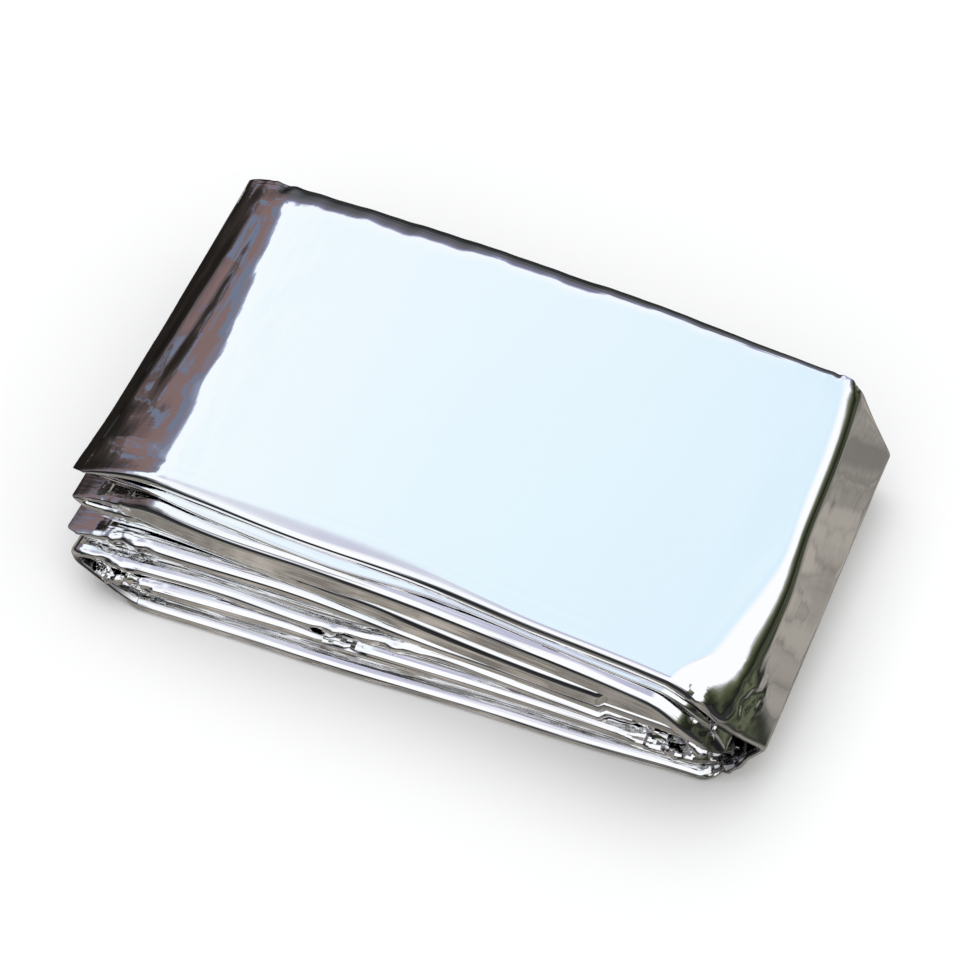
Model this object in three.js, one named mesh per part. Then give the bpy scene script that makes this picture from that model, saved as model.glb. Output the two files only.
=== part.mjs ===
import * as THREE from 'three';

// An emergency sleeping bag of metallised film, pressed and folded flat into a brick.
// The pressed film is one strip that runs back and forth in ten runs, stacked from the floor up.
// From the top run the strip goes round the right end as a nose and back under the brick. At the
// left end it rises again and holds the ends of the lower folds.
// Millimetres, +X along the brick to its nose, +Y to its back, +Z up, origin under its middle.

// The level stack
const HEIGHT = 30.6;
const GAP = 0.6;
const FRONT_PLACES = { left: -60, middle: 5, right: 50 };
const FRONT_WAVE = { depth: 0.3, length: 46, turn: 2.3 };
const BACK_TUCK = { depth: 1.6, left: 44, right: 60 };

// The runs from the floor up. Their front edges are given near the left end, half way and near
// the nose. The last two columns are the shares of the thickness rounded at the long edges.
const RUNS = [
  { thick: 2.6, frontLeft: -41.9, frontMiddle: -37.5, frontRight: -34.4, back: 41.0, over: 0.40, under: 0.45 },
  { thick: 2.0, frontLeft: -38.9, frontMiddle: -34.5, frontRight: -32.9, back: 40.0, over: 0.20, under: 0.70 },
  { thick: 2.0, frontLeft: -39.3, frontMiddle: -34.9, frontRight: -33.1, back: 40.4, over: 0.70, under: 0.20 },
  { thick: 2.4, frontLeft: -39.0, frontMiddle: -35.5, frontRight: -33.6, back: 41.1, over: 0.50, under: 0.40 },
  { thick: 2.1, frontLeft: -37.3, frontMiddle: -35.3, frontRight: -33.6, back: 40.5, over: 0.20, under: 0.70 },
  { thick: 2.1, frontLeft: -37.6, frontMiddle: -35.7, frontRight: -33.9, back: 39.9, over: 0.70, under: 0.20 },
  { thick: 3.6, frontLeft: -35.2, frontMiddle: -34.1, frontRight: -33.4, back: 40.8, over: 0.15, under: 0.75 },
  { thick: 3.6, frontLeft: -35.4, frontMiddle: -34.3, frontRight: -33.6, back: 41.0, over: 0.75, under: 0.15 },
  { thick: 2.4, frontLeft: -31.8, frontMiddle: -31.6, frontRight: -31.6, back: 40.1, over: 0.15, under: 0.75 },
  { thick: 2.4, frontLeft: -32.3, frontMiddle: -32.0, frontRight: -32.1, back: 41.3, over: 0.80, under: 0.10 },
];

// The folds in the order in which the strip passes them. A plain fold reaches out to one x. A wrap
// passes through corners of its own, is as thin as the outer film and has its edges drawn in.
const RIDGE = { x: 56.0, run: 9, radius: 3.0 };
const NOSE = { x: 65.1, z: 11.5, radius: 2.0 };
const FOOT = { x: 57.6, run: 0, radius: 3.5 };
const HEEL = { x: -52.0, run: 0, radius: 4.0 };
const LOW_TIP = { x: -69.2, run: 3, radius: 1.65 };
const FOLDS = [
  { from: 4, to: 5, reach: -65.7 },
  { from: 5, to: 6, reach: 58.2 },
  { from: 6, to: 7, reach: -65.9 },
  { from: 7, to: 8, reach: 55.0 },
  { from: 8, to: 9, reach: -66.2 },
  { from: 9, to: 0, corners: [RIDGE, NOSE, FOOT], thick: 2.0, frontIn: 2.8, backIn: 2.2 },
  { from: 0, to: 3, corners: [HEEL, LOW_TIP], thick: 1.4, frontIn: 0.6, backIn: 0.6 },
  { from: 3, to: 2, reach: 57.0 },
  { from: 2, to: 1, reach: -53.6 },
];
const FIRST_END_X = 56.8;
const LAST_END_X = 55.4;
const WRAP_EASE = 0.3;
const FOLD_PINCH = 0.12;

// How the pressed brick sags. Each drop is the fall of the top run, lower runs fall in proportion.
const LEFT_BEND = { drop: 4.6, end: -66.2, frontY: -32, frontLength: 16, backY: 40, backLength: 8.5 };
const BACK_BEND = { drop: 2.3, end: 41.3, length: 5.4 };
const FRONT_CORNER_DIP = { drop: 4.2, x: 62, y: -34, lengthX: 19, lengthY: 26 };
const BACK_CORNER_DIP = { drop: 2.2, x: 62, y: 43, lengthX: 15, lengthY: 13 };
const WEDGE = { drop: 1.0, left: -50, right: 56 };
const NOSE_SKEW = { shift: 1.8, left: 36, right: 56, halfWidth: 36 };

// Fineness of the facets
const QUARTER_STEPS = 3;
const CORNER_STEPS = 4;
const RUN_STEPS = 13;
const RUN_EASE = 0.75;
const ROUND_STEPS = 3;
const ROUND_DEPTH = 1.2;
const ACROSS_Y = [-27, 4, 33, 35.4];
const ACROSS_MARGIN = 2.2;
const SAME_PLACE = 0.01;

const { clamp, lerp, smoothstep } = THREE.MathUtils;

// Height of the middle of a run in the level stack
function runHeight(index) {
  const below = RUNS.slice(0, index).reduce((sum, run) => sum + run.thick + GAP, 0);
  return below + RUNS[index].thick / 2;
}

// Front edge of a run at x: a parabola through its three given places, with a slow wave on it
function frontEdge(index, x) {
  const run = RUNS[index];
  const { left, middle, right } = FRONT_PLACES;
  const leftShare = ((x - middle) * (x - right)) / ((left - middle) * (left - right));
  const middleShare = ((x - left) * (x - right)) / ((middle - left) * (middle - right));
  const rightShare = ((x - left) * (x - middle)) / ((right - left) * (right - middle));
  const line = run.frontLeft * leftShare + run.frontMiddle * middleShare + run.frontRight * rightShare;
  const phase = (2 * Math.PI * x) / FRONT_WAVE.length + index * FRONT_WAVE.turn;
  return line + FRONT_WAVE.depth * Math.sin(phase);
}

// Back edge of a run at x, tucked in towards the nose
function backEdge(index, x) {
  return RUNS[index].back - BACK_TUCK.depth * smoothstep(x, BACK_TUCK.left, BACK_TUCK.right);
}

// Corner points of a fold in the XZ plane, each with the radius that rounds it
function foldCorners(fold) {
  if (fold.corners) {
    return fold.corners.map((corner) => {
      const height = corner.run === undefined ? corner.z : runHeight(corner.run);
      return { point: new THREE.Vector2(corner.x, height), radius: corner.radius };
    });
  }
  const heights = [runHeight(fold.from), runHeight(fold.to)];
  const radius = Math.abs(heights[1] - heights[0]) / 2;
  const thick = (RUNS[fold.from].thick + RUNS[fold.to].thick) / 2;
  const x = fold.reach - Math.sign(fold.reach) * (thick / 2);
  return heights.map((height) => ({ point: new THREE.Vector2(x, height), radius: radius }));
}

// Places and headings along the round of one corner
function roundCorner(before, corner, after, steps) {
  const entry = corner.point.clone().sub(before).normalize();
  const exit = after.clone().sub(corner.point).normalize();
  const turn = Math.atan2(entry.cross(exit), entry.dot(exit));
  const side = Math.sign(turn);
  const tangentLength = corner.radius * Math.tan(Math.abs(turn) / 2);
  const start = corner.point.clone().addScaledVector(entry, -tangentLength);
  const inward = new THREE.Vector2(-entry.y, entry.x).multiplyScalar(side);
  const centre = start.clone().addScaledVector(inward, corner.radius);
  const origin = new THREE.Vector2();
  const stations = [];
  for (let step = 0; step <= steps; step += 1) {
    const heading = entry.clone().rotateAround(origin, (turn * step) / steps);
    const outward = new THREE.Vector2(heading.y, -heading.x).multiplyScalar(side);
    stations.push({ place: centre.clone().addScaledVector(outward, corner.radius), heading: heading });
  }
  return stations;
}

// Stations of one fold, each with the share of the fold's length that lies behind it
function foldStations(fold) {
  const corners = foldCorners(fold);
  const steps = fold.corners ? CORNER_STEPS : QUARTER_STEPS;
  const points = [
    new THREE.Vector2(0, runHeight(fold.from)),
    ...corners.map((corner) => corner.point),
    new THREE.Vector2(0, runHeight(fold.to)),
  ];
  const stations = [];
  corners.forEach((corner, index) => {
    const rounded = roundCorner(points[index], corner, points[index + 2], steps);
    const last = stations.at(-1);
    const repeated = last && last.place.distanceTo(rounded[0].place) < SAME_PLACE;
    stations.push(...rounded.slice(repeated ? 1 : 0));
  });
  let length = 0;
  stations.forEach((station, index) => {
    length += index === 0 ? 0 : station.place.distanceTo(stations[index - 1].place);
    station.behind = length;
  });
  return stations.map((station) => ({
    ...station,
    fold: fold,
    from: fold.from,
    to: fold.to,
    share: station.behind / length,
  }));
}

// Stations of one run between two places, closer together towards its ends
function runStations(index, start, end) {
  const heading = new THREE.Vector2(Math.sign(end - start), 0);
  const stations = [];
  for (let step = 0; step <= RUN_STEPS; step += 1) {
    const even = step / RUN_STEPS;
    const eased = lerp(even, smoothstep(even, 0, 1), RUN_EASE);
    const place = new THREE.Vector2(lerp(start, end, eased), runHeight(index));
    stations.push({ place: place, heading: heading, from: index, to: index, share: 0 });
  }
  return stations;
}

// Stations along the whole strip, from its first free end to its last
function stripStations() {
  const stations = [];
  let start = FIRST_END_X;
  FOLDS.forEach((fold) => {
    const bend = foldStations(fold);
    stations.push(...runStations(fold.from, start, bend[0].place.x));
    stations.push(...bend.slice(1, -1));
    start = bend.at(-1).place.x;
  });
  stations.push(...runStations(FOLDS.at(-1).to, start, LAST_END_X));
  return stations;
}

// Whether the strip goes towards -X along a run, as it does on every second run from its first
function headsLeft(index) {
  return FOLDS.findIndex((fold) => fold.from === index) % 2 === 0;
}

// Thickness, edges and edge rounding of the strip at a station, left and right of its heading
function stripSection(station) {
  const { fold, share } = station;
  const x = station.place.x;
  const from = RUNS[station.from];
  const to = RUNS[station.to];
  const leftward = headsLeft(station.from);
  const section = {
    thick: lerp(from.thick, to.thick, share),
    front: lerp(frontEdge(station.from, x), frontEdge(station.to, x), share),
    back: lerp(backEdge(station.from, x), backEdge(station.to, x), share),
    left: leftward ? lerp(from.under, to.over, share) : lerp(from.over, to.under, share),
    right: leftward ? lerp(from.over, to.under, share) : lerp(from.under, to.over, share),
  };
  if (fold && fold.corners) {
    const entering = lerp(from.thick, fold.thick, smoothstep(share, 0, WRAP_EASE));
    const bulge = Math.sin(Math.PI * share) ** 2;
    section.thick = lerp(entering, to.thick, smoothstep(share, 1 - WRAP_EASE, 1));
    section.front += fold.frontIn * bulge;
    section.back -= fold.backIn * bulge;
  } else if (fold) {
    const room = Math.abs(runHeight(station.to) - runHeight(station.from)) - GAP;
    section.thick = Math.min(section.thick, room) * (1 - FOLD_PINCH * Math.sin(Math.PI * share));
  }
  return section;
}

// Quarter of a long edge as (y, w) pairs, w to the left of the heading, from the flat to the brow
function edgeQuarter(edge, inward, half, side, round) {
  const points = [];
  for (let step = 0; step <= ROUND_STEPS; step += 1) {
    const angle = (Math.PI / 2) * (step / ROUND_STEPS);
    const depth = round * ROUND_DEPTH * (1 - Math.sin(angle));
    const w = half - round * (1 - Math.cos(angle));
    points.push([edge + inward * depth, side * w]);
  }
  return points;
}

// Closed ring of a section: front edge, left side to the back, back edge, right side to the front
function sectionRing(section) {
  const half = section.thick / 2;
  const left = section.left * section.thick;
  const right = section.right * section.thick;
  const across = ACROSS_Y.map((y) => Math.min(y, section.back - ACROSS_MARGIN));
  return [
    ...edgeQuarter(section.front, 1, half, -1, right),
    ...edgeQuarter(section.front, 1, half, 1, left).reverse(),
    ...across.map((y) => [y, half]),
    ...edgeQuarter(section.back, -1, half, 1, left),
    ...edgeQuarter(section.back, -1, half, -1, right).reverse(),
    ...across.map((y) => [y, -half]).reverse(),
  ];
}

// Fall of the top run round one pressed-in corner
function cornerDrop(dip, x, y) {
  const away = Math.hypot((x - dip.x) / dip.lengthX, (y - dip.y) / dip.lengthY);
  return dip.drop * Math.max(0, 1 - away) ** 2;
}

// Fall of the top run at a place in plan
function topDrop(x, y) {
  const backShare = clamp((y - LEFT_BEND.frontY) / (LEFT_BEND.backY - LEFT_BEND.frontY), 0, 1);
  const bendLength = lerp(LEFT_BEND.frontLength, LEFT_BEND.backLength, backShare);
  const left = Math.max(0, 1 - (x - LEFT_BEND.end) / bendLength);
  const back = Math.max(0, 1 - (BACK_BEND.end - y) / BACK_BEND.length);
  const bends = LEFT_BEND.drop * left ** 2 + BACK_BEND.drop * back ** 2;
  const corners = cornerDrop(FRONT_CORNER_DIP, x, y) + cornerDrop(BACK_CORNER_DIP, x, y);
  const wedge = WEDGE.drop * clamp((x - WEDGE.left) / (WEDGE.right - WEDGE.left), 0, 1);
  return bends + corners + wedge;
}

// Moves a point of the level stack to where it lies in the sagged brick
function settle(x, y, z) {
  const height = z / HEIGHT;
  const nearNose = smoothstep(x, NOSE_SKEW.left, NOSE_SKEW.right);
  const skew = NOSE_SKEW.shift * (y / NOSE_SKEW.halfWidth) * nearNose * height ** 2;
  return new THREE.Vector3(x + skew, y, z - topDrop(x, y) * height);
}

// Ring of points in space at a station
function stationRing(station) {
  const normal = new THREE.Vector2(-station.heading.y, station.heading.x);
  return sectionRing(stripSection(station)).map(([y, w]) => {
    const place = station.place.clone().addScaledVector(normal, w);
    return settle(place.x, y, place.y);
  });
}

// Closed skin over a row of equal rings, with a fan over each free end
function skinRings(rings) {
  const size = rings[0].length;
  const vertices = rings.flat();
  const triangles = [];
  for (let ring = 0; ring < rings.length - 1; ring += 1) {
    for (let side = 0; side < size; side += 1) {
      const here = ring * size + side;
      const beside = ring * size + ((side + 1) % size);
      triangles.push(here, here + size, beside);
      triangles.push(beside, here + size, beside + size);
    }
  }
  const closeEnd = (ring, turned) => {
    const middle = new THREE.Vector3();
    ring.forEach((vertex) => middle.addScaledVector(vertex, 1 / size));
    const first = vertices.indexOf(ring[0]);
    const tip = vertices.push(middle) - 1;
    for (let side = 0; side < size; side += 1) {
      const here = first + side;
      const beside = first + ((side + 1) % size);
      triangles.push(tip, turned ? beside : here, turned ? here : beside);
    }
  };
  closeEnd(rings[0], false);
  closeEnd(rings.at(-1), true);
  const positions = vertices.flatMap((vertex) => vertex.toArray());
  const geometry = new THREE.BufferGeometry();
  geometry.setAttribute('position', new THREE.Float32BufferAttribute(positions, 3));
  geometry.setIndex(triangles);
  geometry.computeVertexNormals();
  return geometry;
}

const film = new THREE.MeshStandardMaterial({ color: 0xd9dde2, roughness: 0.12, metalness: 1.0 });
const foldedBag = new THREE.Mesh(skinRings(stripStations().map(stationRing)), film);
foldedBag.name = 'folded_bag';

const bag = new THREE.Group();
bag.add(foldedBag);

export default bag;
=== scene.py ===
"""Visual model of an emergency sleeping bag of metallised film, folded flat into a brick.

The film is one strip that runs back and forth in ten runs, goes round the right end as a nose and
back under the brick. The sizes are those of the part's solid, in millimetres, with the film's own
rolls, ply lines, creases and crumples added.
"""

import logging
import math
from collections.abc import Callable
from dataclasses import dataclass
from enum import Enum

import bpy
import numpy as np
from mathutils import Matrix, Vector

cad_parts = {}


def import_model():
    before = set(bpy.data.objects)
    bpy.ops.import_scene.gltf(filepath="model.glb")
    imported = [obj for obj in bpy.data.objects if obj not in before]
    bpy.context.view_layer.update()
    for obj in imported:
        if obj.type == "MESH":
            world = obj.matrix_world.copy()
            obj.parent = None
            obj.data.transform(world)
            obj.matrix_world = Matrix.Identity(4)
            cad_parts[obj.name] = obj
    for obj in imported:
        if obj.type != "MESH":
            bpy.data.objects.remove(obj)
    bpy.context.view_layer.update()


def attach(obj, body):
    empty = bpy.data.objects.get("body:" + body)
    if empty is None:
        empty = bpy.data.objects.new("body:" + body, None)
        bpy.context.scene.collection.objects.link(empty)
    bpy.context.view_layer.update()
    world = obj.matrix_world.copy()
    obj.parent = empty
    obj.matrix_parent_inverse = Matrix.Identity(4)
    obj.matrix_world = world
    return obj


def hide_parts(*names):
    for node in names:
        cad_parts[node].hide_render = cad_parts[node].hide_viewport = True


Array = np.ndarray
Socket = bpy.types.NodeSocket
Pair = tuple[float, float]
Triple = tuple[float, float, float]
Colour = tuple[float, float, float, float]
Dip = tuple[float, float, float, float, float, float]
Stops = tuple[tuple[float, Triple], ...]
Fill = Socket | float | bool | str | Triple | Colour
Inputs = dict[str | int, Fill]

MM = 0.001
SMALL = 1e-6
FULL_TURN = 2.0 * math.pi
NOISE_MIDDLE = 0.5
RANGE_INPUTS = ("Value", "From Min", "From Max", "To Min", "To Max")
LOG = logging.getLogger("folded_bag")


def lerp(low: Array | float, high: Array | float, share: Array | float) -> Array | float:
    """Value that lies the given share of the way from low to high."""
    return low + (high - low) * share


def part_way(value: Array | float, low: float, high: float) -> Array:
    """Share of the way from low to high, from 0 to 1."""
    return np.clip((value - low) / (high - low), 0.0, 1.0)


def smoothstep(value: Array | float, low: float, high: float) -> Array:
    """Soft step from 0 at low to 1 at high."""
    share = part_way(value, low, high)
    return share * share * (3.0 - 2.0 * share)


def shares_between(count: int) -> Array:
    """Even shares between 0 and 1, without these two."""
    return np.linspace(0.0, 1.0, count + 2)[1:-1]


def shares_up_to(count: int) -> Array:
    """Even shares from 0 up to, but without, 1."""
    return np.linspace(0.0, 1.0, count + 1)[:-1]


def waved(size: Array, at: Array, waves: tuple[Triple, ...]) -> Array:
    """Adds waves to a size along a line.

    Args:
        size: The plain size at each place.
        at: The places.
        waves: Depth as a share of the size, length and turn of each wave.

    Returns:
        The size with its waves.
    """
    for depth, length, turn in waves:
        size = size * (1.0 + depth * np.sin(FULL_TURN * at / length + turn))
    return size


def curve(at: Array, knots: tuple[float, ...], values: Array) -> Array:
    """Smooth curve through given places, straight past its ends.

    Args:
        at: Places to read it at.
        knots: Places where it is given, rising.
        values: Its values there, along the last axis, with one row a place to read or a single row.

    Returns:
        The curve's value at each place.
    """
    places = np.array(knots)
    table = np.broadcast_to(values, (*at.shape, len(knots)))
    slopes = np.gradient(table, places, axis=-1)
    inside = np.clip(at, places[0], places[-1])
    cell = np.clip(np.searchsorted(places, inside) - 1, 0, len(places) - 2)
    span = places[cell + 1] - places[cell]
    t = (inside - places[cell]) / span

    def pick(rows: Array, column: Array) -> Array:
        """One value of each row."""
        return np.take_along_axis(rows, column[..., None], axis=-1)[..., 0]

    line = (1 + 2 * t) * (1 - t) ** 2 * pick(table, cell) + t * t * (3 - 2 * t) * pick(table, cell + 1)
    bend = t * (1 - t) ** 2 * pick(slopes, cell) - t * t * (1 - t) * pick(slopes, cell + 1)
    outer = pick(slopes, np.where(at < places[0], 0, len(places) - 1))
    return line + span * bend + (at - inside) * outer


class Partner(Enum):
    """The neighbour that a run presses against so closely that the two read as one bulge."""

    NONE = 0
    ABOVE = 1
    BELOW = -1


@dataclass(frozen=True)
class Run:
    """One level run of the pressed film.

    Attributes:
        thick: Thickness of the pressed plies.
        fronts: Front edge at the stack's places along the brick.
        back: Back edge.
        over: Share of the thickness rounded at the upper side of the front edge.
        under: Share of the thickness rounded at the lower side of both long edges.
        lip: Share of the thickness rounded at the upper side of the back edge.
        roll: Depth of the upper round at the front edge.
        partner: Neighbour that shares its bulge.
    """

    thick: float
    fronts: tuple[float, ...]
    back: float
    over: float
    under: float
    lip: float
    roll: float
    partner: Partner


@dataclass(frozen=True)
class Corner:
    """Corner of the strip's path in the XZ plane.

    Attributes:
        x: Place along the brick.
        z: Height, taken where run is None.
        run: Run whose middle height the corner has.
        radius: Radius of the round.
    """

    x: float
    radius: float
    z: float = 0.0
    run: int | None = None


@dataclass(frozen=True)
class Fold:
    """Fold between two runs.

    Attributes:
        start: Run before the fold.
        end: Run after the fold.
        reach: Outermost x of a plain fold.
        corners: Corners that a wrap passes through, none for a plain fold.
        thick: Thickness of the film in a wrap.
        front_in: How far a wrap's front edge is drawn in.
        back_in: How far its back edge is drawn in.
    """

    start: int
    end: int
    reach: float = 0.0
    corners: tuple[Corner, ...] = ()
    thick: float = 0.0
    front_in: float = 0.0
    back_in: float = 0.0


@dataclass(frozen=True)
class Tip:
    """Left tip of two runs that are pressed to a sharp crease.

    Attributes:
        lower: Lower run of the two.
        upper: Upper run of the two.
        reach: Outermost x of the crease.
        over_front: Length of the upper side's taper at the front.
        over_back: Length of the upper side's taper at the back.
        under: Length of the lower side's taper.
        lift: How far the crease rises at the back, as a share of the half height.
        rise: How far the crease lies above the middle of the two runs.
    """

    lower: int
    upper: int
    reach: float
    over_front: float
    over_back: float
    under: float
    lift: float
    rise: float


@dataclass(frozen=True)
class Crease:
    """Crease on the top film, a soft trough or ridge between two places in plan.

    Attributes:
        start: X and Y of its first end.
        end: X and Y of its last end.
        depth: Height of the ridge, or depth of the trough where it is below nought.
        width: Half of its width.
    """

    start: Pair
    end: Pair
    depth: float
    width: float


@dataclass(frozen=True)
class Crumple:
    """Place where the film is crumpled.

    Attributes:
        centre: Its middle.
        radii: How far it reaches along X, Y and Z.
        amount: Share of the full depth at its middle.
        runs: First and last run that it crumples.
    """

    centre: Triple
    radii: Triple
    amount: float
    runs: tuple[int, int]


@dataclass(frozen=True)
class Pocket:
    """Place at the front where two runs gape.

    Attributes:
        centre: Its middle, in the gap between the two runs.
        radii: How far it reaches along X and Y.
        gape: How far each run is pushed off the gap.
    """

    centre: Triple
    radii: Pair
    gape: float


@dataclass(frozen=True)
class Lift:
    """Rise of a run's two sides towards the front, where the runs under it are puffed up.

    Attributes:
        run: The run.
        upper: Rise of its upper side.
        lower: Rise of its lower side.
        start: Place along the brick where the rise starts.
    """

    run: int
    upper: float
    lower: float
    start: float


@dataclass(frozen=True)
class Step:
    """Place where a run's front edge steps back.

    Attributes:
        run: The run.
        x: Where the step starts.
        shift: How far the edge lies towards the back from there on.
    """

    run: int
    x: float
    shift: float


# The runs from the floor up, in the order of Run's fields
RUNS = (
    Run(2.6, (-42.2, -41.1, -39.5, -37.8, -36.2, -34.0), 41.0, 0.60, 0.40, 0.40, 2.2, Partner.NONE),
    Run(2.0, (-40.2, -38.3, -36.6, -34.4, -33.4, -32.6), 40.0, 0.20, 0.70, 0.20, 0.5, Partner.ABOVE),
    Run(2.0, (-41.5, -39.7, -38.0, -35.9, -34.9, -33.5), 40.4, 0.80, 0.15, 0.70, 2.4, Partner.BELOW),
    Run(2.4, (-40.2, -38.2, -37.0, -34.5, -33.9, -33.3), 41.1, 0.60, 0.35, 0.50, 2.6, Partner.NONE),
    Run(2.1, (-36.8, -35.6, -34.2, -33.6, -33.3, -33.0), 40.5, 0.20, 0.70, 0.20, 0.5, Partner.ABOVE),
    Run(2.1, (-38.0, -36.8, -35.4, -35.3, -35.0, -34.4), 39.9, 0.80, 0.15, 0.70, 2.8, Partner.BELOW),
    Run(3.6, (-34.9, -34.7, -34.5, -35.7, -35.7, -35.4), 40.8, 0.45, 0.20, 0.15, 2.0, Partner.NONE),
    Run(3.6, (-34.8, -36.0, -35.6, -35.0, -35.6, -36.3), 41.0, 0.40, 0.12, 0.75, 2.6, Partner.NONE),
    Run(2.4, (-31.6, -34.0, -34.5, -33.0, -33.6, -34.2), 40.1, 0.12, 0.12, 0.15, 0.4, Partner.NONE),
    Run(2.4, (-32.4, -32.2, -32.2, -31.9, -32.6, -33.4), 40.8, 0.90, 0.06, 0.08, 1.3, Partner.NONE),
)

# The runs of the outer wrap, and those between the lowest and the topmost
BOTTOM = 0
LOW_INNER = 3
UNDER_TOP = 8
TOP = 9
INNER = tuple(range(BOTTOM + 1, TOP))

RIDGE = Corner(x=56.0, run=TOP, radius=3.2)
SOFT_RIDGE = Corner(x=56.4, run=TOP, radius=6.5)
NOSE = Corner(x=64.8, z=11.5, radius=2.0)
FOOT = Corner(x=57.6, run=BOTTOM, radius=3.5)
HEEL = Corner(x=-52.0, run=BOTTOM, radius=4.0)
LOW_TIP = Corner(x=-69.2, run=LOW_INNER, radius=1.65)

# The folds in the order in which the strip passes them
FOLDS = (
    Fold(4, 5, reach=-66.4),
    Fold(5, 6, reach=60.6),
    Fold(6, 7, reach=-66.2),
    Fold(7, 8, reach=60.0),
    Fold(UNDER_TOP, TOP, reach=-66.2),
    Fold(TOP, BOTTOM, corners=(RIDGE, NOSE, FOOT), thick=2.0, front_in=4.9, back_in=0.5),
    Fold(BOTTOM, LOW_INNER, corners=(HEEL, LOW_TIP), thick=1.4, front_in=0.6, back_in=0.6),
    Fold(LOW_INNER, 2, reach=61.2),
    Fold(2, 1, reach=-60.4),
)

# Where the strip starts inside and where it ends inside
FIRST_END_X = 61.0
LAST_END_X = 58.2

TIPS = (
    Tip(8, 9, -66.2, 18.0, 9.0, 6.0, 0.55, 0.0),
    Tip(6, 7, -66.2, 18.0, 8.0, 9.0, 0.0, 1.6),
    Tip(4, 5, -66.4, 11.0, 7.0, 12.0, 0.0, 0.9),
    Tip(1, 2, -60.4, 3.5, 3.5, 9.0, 0.0, 1.4),
)

CREASES = (
    Crease((-66.0, -22.5), (-54.0, -25.0), 0.40, 1.5),
    Crease((-63.0, -14.5), (-54.0, -17.5), -0.34, 1.4),
    Crease((-64.0, -18.5), (-58.0, -19.5), 0.24, 1.1),
    Crease((-63.5, -18.0), (-61.0, 30.0), 0.13, 1.1),
    Crease((-60.2, -14.0), (-58.5, 26.0), -0.13, 1.0),
    Crease((-57.4, -16.0), (-56.3, 18.0), 0.11, 1.1),
    Crease((59.0, 2.0), (53.0, -30.0), 0.12, 2.4),
    Crease((48.0, 22.0), (48.0, -8.0), 0.06, 4.5),
    Crease((52.0, 41.0), (59.0, 37.0), 0.30, 1.3),
    Crease((-61.0, 42.0), (-58.5, 37.0), 0.30, 0.9),
    Crease((-57.5, 42.0), (-55.5, 38.5), 0.25, 0.9),
    Crease((52.0, -30.6), (53.0, -34.0), -0.50, 0.7),
    Crease((53.6, -30.8), (54.8, -33.8), 0.55, 0.7),
    Crease((56.0, -30.4), (57.2, -33.2), -0.45, 0.7),
)

CRUMPLES = (
    Crumple((-56.0, -35.0, 20.0), (7.0, 8.0, 4.0), 0.35, (6, 7)),
    Crumple((-54.0, -37.0, 13.5), (8.0, 8.0, 3.5), 0.4, (4, 5)),
    Crumple((-58.0, -38.0, 9.0), (9.0, 8.0, 3.0), 0.4, (3, 3)),
    Crumple((-56.0, -38.0, 5.5), (12.0, 9.0, 5.0), 1.0, (1, 2)),
    Crumple((-12.5, -37.0, 8.3), (8.0, 5.0, 2.6), 1.0, (2, 3)),
    Crumple((-2.0, -36.0, 9.5), (12.0, 4.0, 1.6), 0.4, (2, 3)),
    Crumple((51.0, -33.0, 9.0), (14.0, 7.0, 5.0), 1.0, (2, 4)),
    Crumple((57.0, -32.0, 15.0), (8.0, 6.0, 6.0), 0.8, (4, 6)),
    Crumple((56.0, -32.0, 22.0), (5.0, 5.0, 5.0), 0.5, (6, 7)),
    Crumple((60.0, -33.0, 4.0), (7.0, 6.0, 5.0), 0.7, (0, 2)),
    Crumple((60.5, -25.0, 21.0), (4.5, 9.0, 8.0), 0.30, (9, 9)),
    Crumple((55.0, -32.5, 27.0), (4.0, 3.0, 3.0), 0.50, (9, 9)),
    Crumple((55.5, 38.5, 28.5), (6.0, 3.6, 4.0), 0.30, (9, 9)),
    Crumple((-58.0, 39.0, 27.0), (5.5, 3.6, 5.0), 0.28, (9, 9)),
    Crumple((-37.4, -34.5, 19.0), (2.0, 3.0, 1.3), 0.5, (6, 7)),
    Crumple((-33.5, -34.5, 19.0), (1.6, 3.0, 1.2), 0.5, (6, 7)),
    Crumple((-19.5, -34.3, 19.0), (1.4, 3.0, 1.0), 0.5, (6, 7)),
)

POCKETS = (
    Pocket((-15.5, -36.0, 8.1), (4.4, 6.0), 0.6),
    Pocket((-3.0, -35.0, 13.8), (6.5, 4.0), 0.6),
    Pocket((44.0, -33.0, 11.1), (9.0, 5.0), 0.7),
)

STEPS = (
    Step(3, 36.8, 1.3),
    Step(4, 36.6, 1.1),
    Step(5, 36.7, 0.8),
    Step(6, 36.7, 1.1),
)

LIFTS = (
    Lift(9, 0.0, 0.3, -66.0),
    Lift(8, 0.7, 2.4, -58.0),
    Lift(7, 2.6, 0.0, -58.0),
    Lift(7, 0.0, 1.2, -16.0),
    Lift(6, 1.2, 0.0, -16.0),
)


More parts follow.
